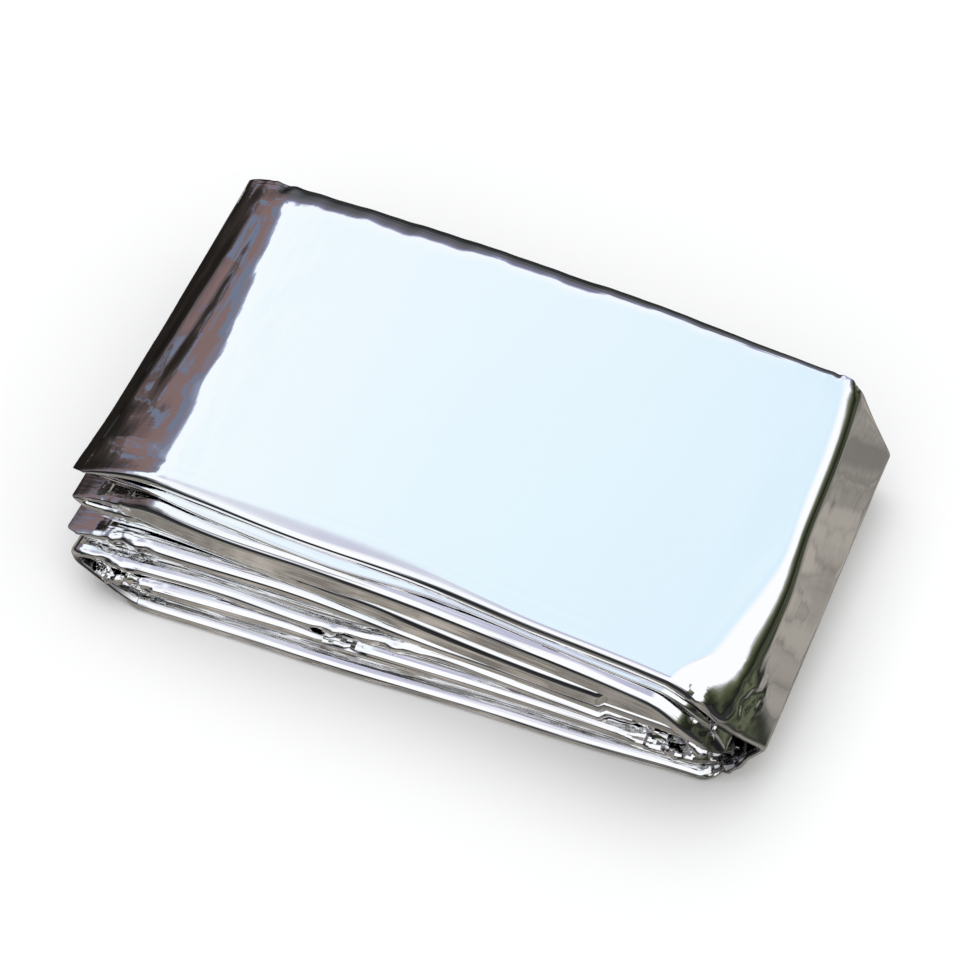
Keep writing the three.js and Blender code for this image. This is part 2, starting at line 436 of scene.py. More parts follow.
@dataclass
class Stations:
    """Places along the strip, one row each.

    Attributes:
        x: Place along the brick.
        z: Height of the strip's middle in the level stack.
        heading_x: X part of its heading.
        heading_z: Z part of its heading.
        start: Run before the place.
        end: Run after the place, the same on a run.
        share: Share of a fold that lies behind the place.
        fold: Index of its fold, -1 on a run.
    """

    x: Array
    z: Array
    heading_x: Array
    heading_z: Array
    start: Array
    end: Array
    share: Array
    fold: Array

    @staticmethod
    def joined(parts: list["Stations"]) -> "Stations":
        """One row of stations from several."""
        names = Stations.__dataclass_fields__
        return Stations(*(np.concatenate([getattr(part, name) for part in parts]) for name in names))

    def cut(self, first: int, last: int) -> "Stations":
        """The stations from first up to, but without, last."""
        return Stations(*(getattr(self, name)[first:last] for name in self.__dataclass_fields__))

    def on(self, *runs: int) -> Array:
        """Whether each station lies on the given runs or a fold between them."""
        return np.isin(self.start, runs) & np.isin(self.end, runs)

    def nearest_run(self) -> Array:
        """The run that each station belongs to, or the nearer one on a fold."""
        return np.where(self.share < 0.5, self.start, self.end)

    def wrapping(self) -> Array:
        """Whether each station lies where the strip wraps an end of the brick."""
        return (self.fold >= 0) & np.isin(self.start, (BOTTOM, TOP))

    def upward(self) -> Array:
        """1 where the left of the heading is the upper side, else -1, as a column."""
        return np.where(self.heading_x >= 0.0, 1.0, -1.0)[:, None]

    def steps(self) -> Array:
        """Length of strip from each station to the next."""
        return np.hypot(np.diff(self.x), np.diff(self.z))

    def behind(self) -> Array:
        """Length of strip behind each station."""
        return np.concatenate(((0.0,), np.cumsum(self.steps())))

    def level_places(self, w: Array) -> tuple[Array, Array]:
        """X and level z of points at a distance w to the left of the strip's middle."""
        x = self.x[:, None] - self.heading_z[:, None] * w
        return x, self.z[:, None] + self.heading_x[:, None] * w


@dataclass
class Section:
    """Sizes of the strip's section at each station, left and right of its heading.

    Attributes:
        thick: Thickness of the pressed plies.
        front: Y of the front edge.
        back: Y of the back edge.
        left: Share of the thickness rounded at the left side of the front edge.
        right: Share rounded at its right side.
        left_roll: Depth of the round at the left side of the front edge.
        right_roll: Depth of the round at its right side.
        left_lip: Share of the thickness rounded at the left side of the back edge.
        right_lip: Share rounded at its right side.
    """

    thick: Array
    front: Array
    back: Array
    left: Array
    right: Array
    left_roll: Array
    right_roll: Array
    left_lip: Array
    right_lip: Array


@dataclass(frozen=True)
class Stack:
    """The pressed brick: heights and edges of its runs and how it sags.

    Attributes:
        height: Height of the level stack.
        gap: Space between two runs.
        front_x: Places along the brick where the front edges are given.
        front_wave: Depth, length and turn from run to run of the front edges' slow wave.
        step_ease: Length in which a front edge steps back.
        end_x: X range in which the inner runs' right ends are drawn in and fall.
        end_in: How far their front edges are drawn in there.
        end_fall: Share of their height by which they fall there.
        low_tip_rise: Rise of the lowest left tip.
        low_tip_x: Range of -X in which that tip rises.
        low_tip_power: Power of the height that its rise follows.
        lift_y: Y range in which the lifted fronts end.
        lift_start: Length in which a lift starts.
        lift_end: X range in which the lifts end.
        back_tuck: Depth, left and right end of the back edges' tuck towards the nose.
        back_slant: Depth, right and left end of the back edges' slant at the left end.
        wrap_ease: Share of a wrap in which its thickness changes.
        fold_pinch: Share by which a plain fold is pressed thinner at its tip.
        tip_roll: Share of the edge rounds that is left at the left tips.
        tip_roll_x: X range in which the rounds grow to their full depth.
        top_roll: Depth, middle and half length of the top run's deeper front round.
        left_end: X of the top film's left end at the front.
        left_shift: How far the left ends lie to the right of that at the back.
        left_drop: Fall of the top film at its left end, at the front and the back.
        left_length: Length of its left bend, at the front and the back.
        left_power: Power of the bend's curve.
        left_waves: Depth, length and turn of the waves in the bend's length.
        bend_most: Largest share of a bend, a little past its end.
        across_y: Front and back of the top film.
        back_slope: Slope of the top film at its back edge.
        back_length: Length of its back roll at the two places in back_x.
        back_waves: Depth, length and turn of the waves in the roll's length.
        back_x: Places at which the roll's lengths are given.
        facet_start: Back end, in plan, of the line where the top film's front right facet starts.
        facet_end: Front end of that line.
        facet_slope: Slope of the facet.
        facet_sharp: Sharpness of the line.
        front_dip: Depth, x, y, length, width and power of the pressed-in front right corner.
        back_dip: The same of the back right corner.
        wedge: Depth, left and right end of the top's slow fall to the right.
        bow_x: X range in which the ridge's bow grows.
        bow_y: Places across the brick where the bow is given.
        bow: Shift to the right at those places.
        bow_low: Share of the height under which there is no bow.
        bow_power: Power of the height that the bow follows.
    """

    height: float = 30.6
    gap: float = 0.6
    front_x: tuple[float, ...] = (-60.0, -40.0, -18.0, 5.0, 25.0, 50.0)
    front_wave: Triple = (0.15, 46.0, 2.3)
    step_ease: float = 0.7
    end_x: Pair = (52.0, 64.0)
    end_in: float = 4.0
    end_fall: float = 0.40
    low_tip_rise: float = 2.2
    low_tip_x: Pair = (50.0, 66.0)
    low_tip_power: float = 1.5
    lift_y: Pair = (-33.0, -24.0)
    lift_start: float = 12.0
    lift_end: Pair = (46.0, 55.0)
    back_tuck: Triple = (1.8, 8.0, 58.0)
    back_slant: Triple = (1.3, -20.0, -62.0)
    wrap_ease: float = 0.3
    fold_pinch: float = 0.12
    tip_roll: float = 0.35
    tip_roll_x: Pair = (-64.0, -44.0)
    top_roll: Triple = (2.6, -18.0, 26.0)
    left_end: float = -66.2
    left_shift: float = 0.6
    left_drop: Pair = (4.6, 2.6)
    left_length: Pair = (18.0, 9.0)
    left_power: float = 1.6
    left_waves: tuple[Triple, ...] = ((0.055, 25.0, 0.4), (0.03, 13.7, 2.0), (0.02, 7.3, 0.5))
    bend_most: float = 1.1
    across_y: Pair = (-32.0, 40.0)
    back_slope: float = 0.53
    back_length: Pair = (6.4, 2.1)
    back_waves: tuple[Triple, ...] = ((0.08, 31.0, 1.1), (0.06, 12.1, 0.3), (0.03, 5.3, 2.2))
    back_x: Pair = (-55.0, 50.0)
    facet_start: Pair = (60.5, 8.0)
    facet_end: Pair = (51.5, -31.0)
    facet_slope: float = 0.28
    facet_sharp: float = 1.5
    front_dip: Dip = (4.4, 60.5, -36.0, 13.0, 13.0, 1.15)
    back_dip: Dip = (2.2, 62.0, 43.0, 15.0, 13.0, 2.0)
    wedge: Triple = (1.0, -50.0, 56.0)
    bow_x: Pair = (36.0, 56.0)
    bow_y: tuple[float, ...] = (-34.0, -30.0, -25.0, -18.0, -7.0, 6.0, 24.0, 40.0)
    bow: tuple[float, ...] = (-1.2, 0.2, 2.3, 3.2, 3.9, 2.6, 1.9, 0.2)
    bow_low: float = 0.38
    bow_power: float = 1.4

    def column(self, name: str) -> Array:
        """One field of all runs as an array."""
        return np.array([getattr(run, name) for run in RUNS])

    def middle(self, index: int) -> float:
        """Height of the middle of a run in the level stack."""
        below = sum(run.thick + self.gap for run in RUNS[:index])
        return below + RUNS[index].thick / 2

    def front(self, index: Array, x: Array) -> Array:
        """Front edges of runs: smooth curves through their given places with a slow wave.

        Args:
            index: Run at each place.
            x: Each place along the brick.

        Returns:
            The front edge's y at each place.
        """
        line = curve(x, self.front_x, np.array([run.fronts for run in RUNS])[index])
        depth, length, turn = self.front_wave
        line = line + depth * np.sin(FULL_TURN * x / length + index * turn)
        line = line + np.where(np.isin(index, INNER), self.end_in, 0.0) * smoothstep(x, *self.end_x)
        for step in STEPS:
            stepped = smoothstep(x, step.x, step.x + self.step_ease)
            line = line + np.where(index == step.run, step.shift, 0.0) * stepped
        return line

    def lift(self, stations: Stations, y: Array, share: Array) -> Array:
        """Rise of the runs towards the front.

        Args:
            stations: Places along the strip.
            y: Places across the brick.
            share: Share of the thickness that lies under each point.

        Returns:
            The rise of each point.
        """
        near = 1.0 - smoothstep(y, *self.lift_y)
        rise = np.zeros(y.shape)
        for lift in LIFTS:
            along = smoothstep(stations.x, lift.start, lift.start + self.lift_start)
            along = along * (1.0 - smoothstep(stations.x, *self.lift_end)) * stations.on(lift.run)
            rise += along[:, None] * near * lerp(lift.lower, lift.upper, share)
        return rise

    def back(self, index: Array, x: Array) -> Array:
        """Back edges of runs, tucked in towards the nose and drawn in at the left end.

        Args:
            index: Run at each place.
            x: Each place along the brick.

        Returns:
            The back edge's y at each place.
        """
        depth, left, right = self.back_tuck
        slant, near, far = self.back_slant
        drawn = slant * smoothstep(-x, -near, -far)
        return self.column("back")[index] - depth * smoothstep(x, left, right) - drawn

    def backness(self, y: Array) -> Array:
        """Square of the share of the way from the front to the back."""
        return part_way(y, *self.across_y) ** 2

    def heads_left(self) -> Array:
        """Whether the strip goes towards -X along each run."""
        order = [fold.start for fold in FOLDS] + [FOLDS[-1].end]
        return np.array([order.index(run) % 2 == 0 for run in range(len(RUNS))])

    def section(self, stations: Stations) -> Section:
        """Sizes of the strip's section at each station.

        Args:
            stations: Places along the strip.

        Returns:
            Thickness, edges and edge rounding, one row a station.
        """
        start, end, share = stations.start, stations.end, stations.share
        over, under, thick = self.column("over"), self.column("under"), self.column("thick")
        lip, roll = self.column("lip"), self.column("roll")
        leftward = self.heads_left()[start]

        def sided(upper: Array, lower: Array) -> tuple[Array, Array]:
            """Values of the upper and lower side, put left and right of the heading."""
            falling, rising = lerp(lower[start], upper[end], share), lerp(upper[start], lower[end], share)
            return np.where(leftward, falling, rising), np.where(leftward, rising, falling)

        left, right = sided(over, under)
        left_roll, right_roll = sided(roll, under * thick)
        depth, middle, length = self.top_roll
        swell = depth * np.exp(-(((stations.x - middle) / length) ** 2))
        left_roll = left_roll + np.where(stations.on(TOP), swell, 0.0)
        tight = lerp(self.tip_roll, 1.0, smoothstep(stations.x, *self.tip_roll_x))
        left_roll, right_roll = left_roll * tight, right_roll * tight
        left_lip, right_lip = sided(lip, under)
        sizes = lerp(thick[start], thick[end], share)
        front = lerp(self.front(start, stations.x), self.front(end, stations.x), share)
        back = lerp(self.back(start, stations.x), self.back(end, stations.x), share)
        section = Section(sizes, front, back, left, right, left_roll, right_roll, left_lip, right_lip)
        for index, fold in enumerate(FOLDS):
            here = stations.fold == index
            part = share[here]
            if not here.any():
                continue
            if fold.corners:
                entering = lerp(thick[fold.start], fold.thick, smoothstep(part, 0.0, self.wrap_ease))
                leaving = smoothstep(part, 1.0 - self.wrap_ease, 1.0)
                tip = part[np.argmax(np.abs(stations.x[here]))]
                bulge = np.minimum(part / tip, (1.0 - part) / (1.0 - tip))
                section.thick[here] = lerp(entering, thick[fold.end], leaving)
                section.front[here] += fold.front_in * bulge
                section.back[here] -= fold.back_in * bulge
            else:
                room = abs(self.middle(fold.end) - self.middle(fold.start)) - self.gap
                pinch = 1.0 - self.fold_pinch * np.sin(math.pi * part)
                section.thick[here] = np.minimum(section.thick[here], room) * pinch
        return section

    def drop(self, x: Array, y: Array) -> Array:
        """Fall of the top film by its bends, its facet and its pressed-in corners.

        Args:
            x: Places along the brick.
            y: Places across it.

        Returns:
            The fall at each place in plan.
        """
        backness = self.backness(y)
        bend = waved(lerp(*self.left_length, backness), y, self.left_waves)
        end = self.left_end + self.left_shift * backness
        left = np.clip(1.0 - (x - end) / bend, 0.0, self.bend_most)
        roll = waved(lerp(*self.back_length, part_way(x, *self.back_x)), x, self.back_waves)
        top_edge = self.back(np.full(x.shape, TOP), x)
        back = np.clip(1.0 - (top_edge - y) / roll, 0.0, self.bend_most)
        fall = lerp(*self.left_drop, backness) * left**self.left_power
        fall = fall + self.back_slope * roll / 2 * back**2 * (1.0 - np.clip(left, 0.0, 1.0))
        first, last = np.array(self.facet_start), np.array(self.facet_end)
        span = (last - first) / np.linalg.norm(last - first)
        beyond = (y - first[1]) * span[0] - (x - first[0]) * span[1]
        fall = fall + self.facet_slope * np.logaddexp(0.0, beyond * self.facet_sharp) / self.facet_sharp
        for depth, at_x, at_y, length, width, power in (self.front_dip, self.back_dip):
            away = np.hypot((x - at_x) / length, (y - at_y) / width)
            fall = fall + depth * np.maximum(0.0, 1.0 - away) ** power
        depth, low, high = self.wedge
        return fall + depth * part_way(x, low, high)

    def settle(self, x: Array, y: Array, z: Array) -> Array:
        """Moves points of the level stack to where they lie in the sagged brick.

        Args:
            x: Places along the brick.
            y: Places across it.
            z: Heights in the level stack.

        Returns:
            The points, with a last axis of three.
        """
        height = z / self.height
        upper = part_way(height, self.bow_low, 1.0) ** self.bow_power
        shift = curve(y, self.bow_y, np.array(self.bow)) * smoothstep(x, *self.bow_x) * upper
        return np.stack((x + shift, y, z - self.drop(x + shift, y) * height), axis=-1)


@dataclass(frozen=True)
class StripPath:
    """Path of the film strip in the XZ plane, sampled closely.

    Attributes:
        stack: The brick whose runs and folds it follows.
        ridge: Corner at which the top film turns down to the nose.
        run_steps: Steps along a run.
        end_share: Share by which the steps are shorter at a run's ends.
        straight_steps: Steps along a straight between two rounds.
        turn_steps: Steps along a round.
        shortest: Shortest straight that is kept between two rounds.
    """

    stack: Stack
    ridge: Corner = RIDGE
    run_steps: int = 176
    end_share: float = 0.6
    straight_steps: int = 22
    turn_steps: int = 10
    shortest: float = 0.01

    def corners(self, fold: Fold) -> list[tuple[Array, float]]:
        """Corner points and radii of a fold.

        Args:
            fold: The fold.

        Returns:
            Each corner's point and radius, in strip order.
        """
        if fold.corners:
            chosen = [self.ridge if corner is RIDGE else corner for corner in fold.corners]
            heights = [c.z if c.run is None else self.stack.middle(c.run) for c in chosen]
            return [(np.array((c.x, z)), c.radius) for c, z in zip(chosen, heights)]
        heights = [self.stack.middle(fold.start), self.stack.middle(fold.end)]
        radius = abs(heights[1] - heights[0]) / 2
        thick = (RUNS[fold.start].thick + RUNS[fold.end].thick) / 2
        x = fold.reach - math.copysign(thick / 2, fold.reach)
        return [(np.array((x, height)), radius) for height in heights]

    def round(self, before: Array, corner: tuple[Array, float], after: Array) -> tuple[Array, Array]:
        """Points and headings along the round of one corner.

        Args:
            before: Point that the path comes from.
            corner: Corner point and radius.
            after: Point that the path goes on to.

        Returns:
            The points and the headings, one row each.
        """
        point, radius = corner
        entry = (point - before) / np.linalg.norm(point - before)
        leave = (after - point) / np.linalg.norm(after - point)
        cross = entry[0] * leave[1] - entry[1] * leave[0]
        turn = math.atan2(cross, float(entry @ leave))
        side = math.copysign(1.0, turn)
        first = point - entry * radius * math.tan(abs(turn) / 2)
        centre = first + side * radius * np.array((-entry[1], entry[0]))
        angles = np.linspace(0.0, turn, self.turn_steps + 1)
        headings = np.stack(
            (
                entry[0] * np.cos(angles) - entry[1] * np.sin(angles),
                entry[0] * np.sin(angles) + entry[1] * np.cos(angles),
            ),
            axis=1,
        )
        outward = side * np.stack((headings[:, 1], -headings[:, 0]), axis=1)
        return centre + radius * outward, headings

    def fold_stations(self, index: int) -> Stations:
        """Stations of one fold with the straights between its rounds.

        Args:
            index: Number of the fold in FOLDS.

        Returns:
            The stations in strip order.
        """
        fold = FOLDS[index]
        corners = self.corners(fold)
        ends = [np.array((0.0, self.stack.middle(run))) for run in (fold.start, fold.end)]
        points = [ends[0], *(point for point, _ in corners), ends[1]]
        places: list[Array] = []
        headings: list[Array] = []
        for number, corner in enumerate(corners):
            arc, aim = self.round(points[number], corner, points[number + 2])
            if places:
                span = arc[0] - places[-1][-1]
                length = float(np.linalg.norm(span))
                steps = self.straight_steps if fold.corners else 1
                shares = shares_between(steps - 1)
                places.append(places[-1][-1] + shares[:, None] * span)
                headings.append(np.repeat(aim[:1], len(shares), axis=0))
                skip = 1 if length < self.shortest else 0
                arc, aim = arc[skip:], aim[skip:]
            places.append(arc)
            headings.append(aim)
        place, heading = np.concatenate(places), np.concatenate(headings)
        behind = np.concatenate(((0.0,), np.cumsum(np.linalg.norm(np.diff(place, axis=0), axis=1))))
        count = len(place)
        return Stations(
            x=place[:, 0],
            z=place[:, 1],
            heading_x=heading[:, 0],
            heading_z=heading[:, 1],
            start=np.full(count, fold.start),
            end=np.full(count, fold.end),
            share=behind / behind[-1],
            fold=np.full(count, index),
        )

    def run_stations(self, index: int, first: float, last: float) -> Stations:
        """Stations of one run between two places.

        Args:
            index: The run.
            first: X of its first station.
            last: X of its last station.

        Returns:
            The stations in strip order.
        """
        count = self.run_steps + 1
        even = np.linspace(0.0, 1.0, count)
        return Stations(
            x=lerp(first, last, even - self.end_share * np.sin(FULL_TURN * even) / FULL_TURN),
            z=np.full(count, self.stack.middle(index)),
            heading_x=np.full(count, math.copysign(1.0, last - first)),
            heading_z=np.zeros(count),
            start=np.full(count, index),
            end=np.full(count, index),
            share=np.zeros(count),
            fold=np.full(count, -1),
        )

    def between(self, first_run: int, last_run: int) -> Stations:
        """Stations from the start of one run to the end of another, with the folds between.

        Args:
            first_run: Run that the piece starts with, after the fold before it.
            last_run: Run that the piece ends with, and the fold after it.

        Returns:
            The stations in strip order.
        """
        parts: list[Stations] = []
        taking = False
        x = FIRST_END_X
        for index, fold in enumerate(FOLDS):
            bend = self.fold_stations(index)
            taking = taking or fold.start == first_run
            if taking:
                parts.append(self.run_stations(fold.start, x, float(bend.x[0])))
                parts.append(bend.cut(1, len(bend.x) - 1))
            x = float(bend.x[-1])
            taking = taking and fold.start != last_run
        if last_run == FOLDS[-1].end:
            parts.append(self.run_stations(last_run, x, LAST_END_X))
        return Stations.joined(parts)


@dataclass(frozen=True)
class Graph:
    """Node tree with short ways to add its nodes.

    Attributes:
        tree: The tree that the nodes go into.
    """

    tree: bpy.types.NodeTree

    def fill(self, node: bpy.types.Node, inputs: Inputs) -> None:
        """Joins or sets inputs of a node.

        Args:
            node: The node.
            inputs: Output to join or value to set, by the input's name or number.
        """
        for key, value in inputs.items():
            if isinstance(value, Socket):
                self.tree.links.new(value, node.inputs[key])
            else:
                node.inputs[key].default_value = value

    def add(self, kind: str, inputs: Inputs | None = None, **settings: str) -> bpy.types.Node:
        """Adds a node.

        Args:
            kind: Type of the node.
            inputs: Output to join or value to set, by the input's name or number.
            **settings: Values of the node's own settings.

        Returns:
            The node.
        """
        node = self.tree.nodes.new(kind)
        for name, value in settings.items():
            setattr(node, name, value)
        self.fill(node, inputs or {})
        return node

    def maths(self, operation: str, first: Fill, second: Fill = 0.0) -> Socket:
        """Output of a math node on two outputs or numbers."""
        return self.add("ShaderNodeMath", {0: first, 1: second}, operation=operation).outputs[0]

    def mix(self, share: Fill, first: Fill, second: Fill) -> Socket:
        """Output that goes from the first colour to the second by a share."""
        inputs = {"Factor": share, "A": first, "B": second}
        return self.add("ShaderNodeMix", inputs, data_type="RGBA").outputs["Result"]

    def ranged(self, value: Fill, given: Pair, wanted: tuple[Fill, Fill], **settings: str) -> Socket:
        """Output that takes a value from one range to another and stays inside it."""
        inputs = dict(zip(RANGE_INPUTS, (value, *given, *wanted)))
        return self.add("ShaderNodeMapRange", inputs, **settings).outputs["Result"]

    def soft(self, value: Fill, given: Pair, most: Fill = 1.0) -> Socket:
        """Output of a soft step over a range, from 0 to most."""
        return self.ranged(value, given, (0.0, most), interpolation_type="SMOOTHSTEP")

    def noise(self, place: Socket, scale: float, detail: float) -> Socket:
        """Output of a noise over some coordinates."""
        inputs = {"Vector": place, "Scale": scale, "Detail": detail}
        return self.add("ShaderNodeTexNoise", inputs).outputs["Fac"]

    def vectors(self, operation: str, first: Fill, second: Fill) -> Socket:
        """Output of a vector math node that makes a number of two vectors."""
        return self.add("ShaderNodeVectorMath", {0: first, 1: second}, operation=operation).outputs["Value"]

    def parts(self, place: Socket) -> bpy.types.NodeOutputs:
        """Outputs of a vector's X, Y and Z."""
        return self.add("ShaderNodeSeparateXYZ", {0: place}).outputs

    def stretch(self, place: Socket, scale: Triple) -> Socket:
        """Output of coordinates with a scale of their own along each axis."""
        return self.add("ShaderNodeMapping", {"Vector": place, "Scale": scale}).outputs["Vector"]

    def mask(self, name: str) -> Socket:
        """Output that reads one of the mesh's own masks in a material."""
        return self.add("ShaderNodeAttribute", attribute_name=name).outputs["Fac"]

    def ramp(self, stops: Stops, share: Socket) -> Socket:
        """Output of a colour ramp.

        Args:
            stops: Place and colour of each of its stops, rising.
            share: Place to read it at.

        Returns:
            The ramp's colour output.
        """
        node = self.add("ShaderNodeValToRGB", {"Fac": share})
        elements = node.color_ramp.elements
        elements.remove(elements[1])
        for index, (position, colour) in enumerate(stops):
            element = elements[0] if index == 0 else elements.new(position)
            element.position = position
            element.color = (*colour, 1.0)
        return node.outputs["Color"]


@dataclass(frozen=True)
class FilmFinish:
    """Aluminium-coated film: a bright mirror with drawn lines along the strip, and painted shade where it
    lies between the runs.

    Attributes:
        name: Name of the material.
        colour: Colour of its reflections.
        painted_shade: Colour of the painted shade between the runs, where the film's base colour goes dark.
        smooth: Roughness of the pressed film.
        worn: Roughness where it has been rubbed.
        rub: Scale and detail of the rubbed patches.
        rub_range: Range of their noise in which the film goes from smooth to worn.
        line_scale: Scale of the drawn lines along and across the strip.
        line_detail: Detail of the drawn lines.
        line_depth: Depth of the drawn lines in metres.
        grain_scale: Scale of the fine crinkle along X, Y and Z.
        grain_detail: Detail of the fine crinkle.
        grain_depth: Depth of the fine crinkle in metres where the film is loosest.
    """

    name: str = "metallised_film"
    colour: Colour = (0.93, 0.935, 0.945, 1.0)
    painted_shade: Colour = (0.07, 0.07, 0.075, 1.0)
    smooth: float = 0.020
    worn: float = 0.055
    rub: Pair = (90.0, 3.0)
    rub_range: Pair = (0.35, 0.7)
    line_scale: Triple = (14.0, 1500.0, 1.0)
    line_detail: float = 2.0
    line_depth: float = 0.00007
    grain_scale: Triple = (260.0, 90.0, 260.0)
    grain_detail: float = 2.5
    grain_depth: float = 0.00008

    def material(self) -> bpy.types.Material:
        """Builds the film's node material.

        Returns:
            The material.
        """
        film = bpy.data.materials.new(self.name)
        film.use_nodes = True
        graph = Graph(film.node_tree)
        shader = film.node_tree.nodes["Principled BSDF"]
        graph.fill(shader, {"Base Color": self.colour, "Metallic": 1.0})
        # Painted shade: the base colour goes dark where the shade mask says the film lies between the runs.
        graph.fill(shader, {"Base Color": graph.mix(graph.mask("shade"), self.colour, self.painted_shade)})

        place = graph.add("ShaderNodeTexCoord").outputs["Object"]
        rubbed = graph.noise(place, *self.rub)
        graph.fill(shader, {"Roughness": graph.ranged(rubbed, self.rub_range, (self.smooth, self.worn))})

        strip = graph.add("ShaderNodeUVMap", uv_map="strip").outputs["UV"]
        drawn = graph.noise(graph.stretch(strip, self.line_scale), 1.0, self.line_detail)
        drawn = graph.maths("MULTIPLY", drawn, graph.mask("lines"))
        lines = graph.add("ShaderNodeBump", {"Height": drawn, "Distance": self.line_depth})
        crinkle = graph.noise(graph.stretch(place, self.grain_scale), 1.0, self.grain_detail)
        crinkle = graph.maths("MULTIPLY", crinkle, graph.mask("ripple"))
        inputs = {"Height": crinkle, "Distance": self.grain_depth, "Normal": lines.outputs["Normal"]}
        grain = graph.add("ShaderNodeBump", inputs)
        graph.fill(shader, {"Normal": grain.outputs["Normal"]})
        return film


@dataclass(frozen=True)
class FilmRelief:
    """Geometry Nodes tree that ripples and crumples the film along its own normals.

    Attributes:
        ripple_depth: Height of the soft ripples in metres.
        ripple_size: Distance between them in metres.
        crumple_depth: Height of the sharp crumples in metres.
        crumple_size: Distance between them in metres.
        seed: Fixed seed of both patterns.
        ripple_detail: Detail of the ripples.
        facet_axis: Axis round which the crumples' two patterns of facets are turned.
        facet_turns: Turn of the two in radians.
        sharp_angle: Angle in radians from which a crumple's ridge is a sharp one.
        sharp_least: Least share of a crumple that has sharp ridges.
    """

    ripple_depth: float = 0.00030
    ripple_size: float = 0.0085
    crumple_depth: float = 0.0016
    crumple_size: float = 0.0034
    seed: float = 4.0
    ripple_detail: float = 1.5
    facet_axis: Triple = (0.5, 0.7, 0.5)
    facet_turns: Pair = (0.6, 2.1)
    sharp_angle: float = 0.38
    sharp_least: float = 0.2

    def sizes(self) -> dict[str, float]:
        """The tree's inputs by name."""
        return {
            "Ripple Depth": self.ripple_depth,
            "Ripple Size": self.ripple_size,
            "Crumple Depth": self.crumple_depth,
            "Crumple Size": self.crumple_size,
            "Seed": self.seed,
        }

    def tree(self) -> bpy.types.NodeTree:
        """Builds the tree with its named inputs.

        Returns:
            The tree.
        """
        tree = bpy.data.node_groups.new("film_relief", "GeometryNodeTree")
        face = tree.interface
        face.new_socket("Geometry", in_out="INPUT", socket_type="NodeSocketGeometry")
        for name in self.sizes():
            face.new_socket(name, in_out="INPUT", socket_type="NodeSocketFloat")
        face.new_socket("Finish", in_out="INPUT", socket_type="NodeSocketMaterial")
        face.new_socket("Geometry", in_out="OUTPUT", socket_type="NodeSocketGeometry")
        graph = Graph(tree)
        given = graph.add("NodeGroupInput").outputs
        crumpled = self.mesh_mask(graph, "crumple")
        rise = graph.maths("ADD", self.ripple(graph, given), self.crumple(graph, given, crumpled))
        normal = graph.add("GeometryNodeInputNormal").outputs[0]
        offset = graph.add("ShaderNodeVectorMath", {0: normal, "Scale": rise}, operation="SCALE").outputs[0]
        inputs = {"Geometry": given["Geometry"], "Offset": offset}
        moved = graph.add("GeometryNodeSetPosition", inputs).outputs[0]

        bend = graph.add("GeometryNodeInputMeshEdgeAngle").outputs["Unsigned Angle"]
        steep = graph.maths("GREATER_THAN", bend, self.sharp_angle)
        strong = graph.maths("GREATER_THAN", crumpled, self.sharp_least)
        chosen = graph.maths("MULTIPLY", steep, strong)
        inputs = {"Geometry": moved, "Selection": chosen, "Shade Smooth": False}
        crisp = graph.add("GeometryNodeSetShadeSmooth", inputs, domain="EDGE").outputs[0]
        whole = graph.add("GeometryNodeRealizeInstances", {0: crisp}).outputs[0]
        inputs = {"Geometry": whole, "Material": given["Finish"]}
        dressed = graph.add("GeometryNodeSetMaterial", inputs).outputs[0]
        graph.add("NodeGroupOutput", {0: dressed})
        return tree

    def mesh_mask(self, graph: Graph, name: str) -> Socket:
        """Output that reads one of the mesh's own masks."""
        node = graph.add("GeometryNodeInputNamedAttribute", {"Name": name}, data_type="FLOAT")
        return node.outputs["Attribute"]

    def ripple(self, graph: Graph, given: bpy.types.NodeOutputs) -> Socket:
        """Output of the soft ripples' height.

        Args:
            graph: Nodes of the tree.
            given: The tree's inputs.

        Returns:
            The height in metres.
        """
        inputs = {
            "Vector": graph.add("GeometryNodeInputPosition").outputs[0],
            "W": given["Seed"],
            "Scale": graph.maths("DIVIDE", 1.0, given["Ripple Size"]),
            "Detail": self.ripple_detail,
        }
        waves = graph.add("ShaderNodeTexNoise", inputs, noise_dimensions="4D").outputs["Fac"]
        height = graph.maths("SUBTRACT", waves, NOISE_MIDDLE)
        height = graph.maths("MULTIPLY", height, given["Ripple Depth"])
        return graph.maths("MULTIPLY", height, self.mesh_mask(graph, "ripple"))

    def crumple(self, graph: Graph, given: bpy.types.NodeOutputs, crumpled: Socket) -> Socket:
        """Output of the sharp crumples' height, the difference of two patterns of facets.

        Args:
            graph: Nodes of the tree.
            given: The tree's inputs.
            crumpled: Share of the full crumple at each point.

        Returns:
            The height in metres.
        """
        place = graph.add("GeometryNodeInputPosition").outputs[0]
        scale = graph.maths("DIVIDE", 1.0, given["Crumple Size"])
        patterns: list[Socket] = []
        for angle in self.facet_turns:
            inputs = {"Vector": place, "Axis": self.facet_axis, "Angle": angle}
            turned = graph.add("ShaderNodeVectorRotate", inputs).outputs[0]
            inputs = {"Vector": turned, "W": given["Seed"], "Scale": scale}
            kind = {"voronoi_dimensions": "4D", "distance": "MANHATTAN"}
            patterns.append(graph.add("ShaderNodeTexVoronoi", inputs, **kind).outputs["Distance"])
        height = graph.maths("MULTIPLY", graph.maths("SUBTRACT", *patterns), given["Crumple Depth"])
        return graph.maths("MULTIPLY", height, crumpled)

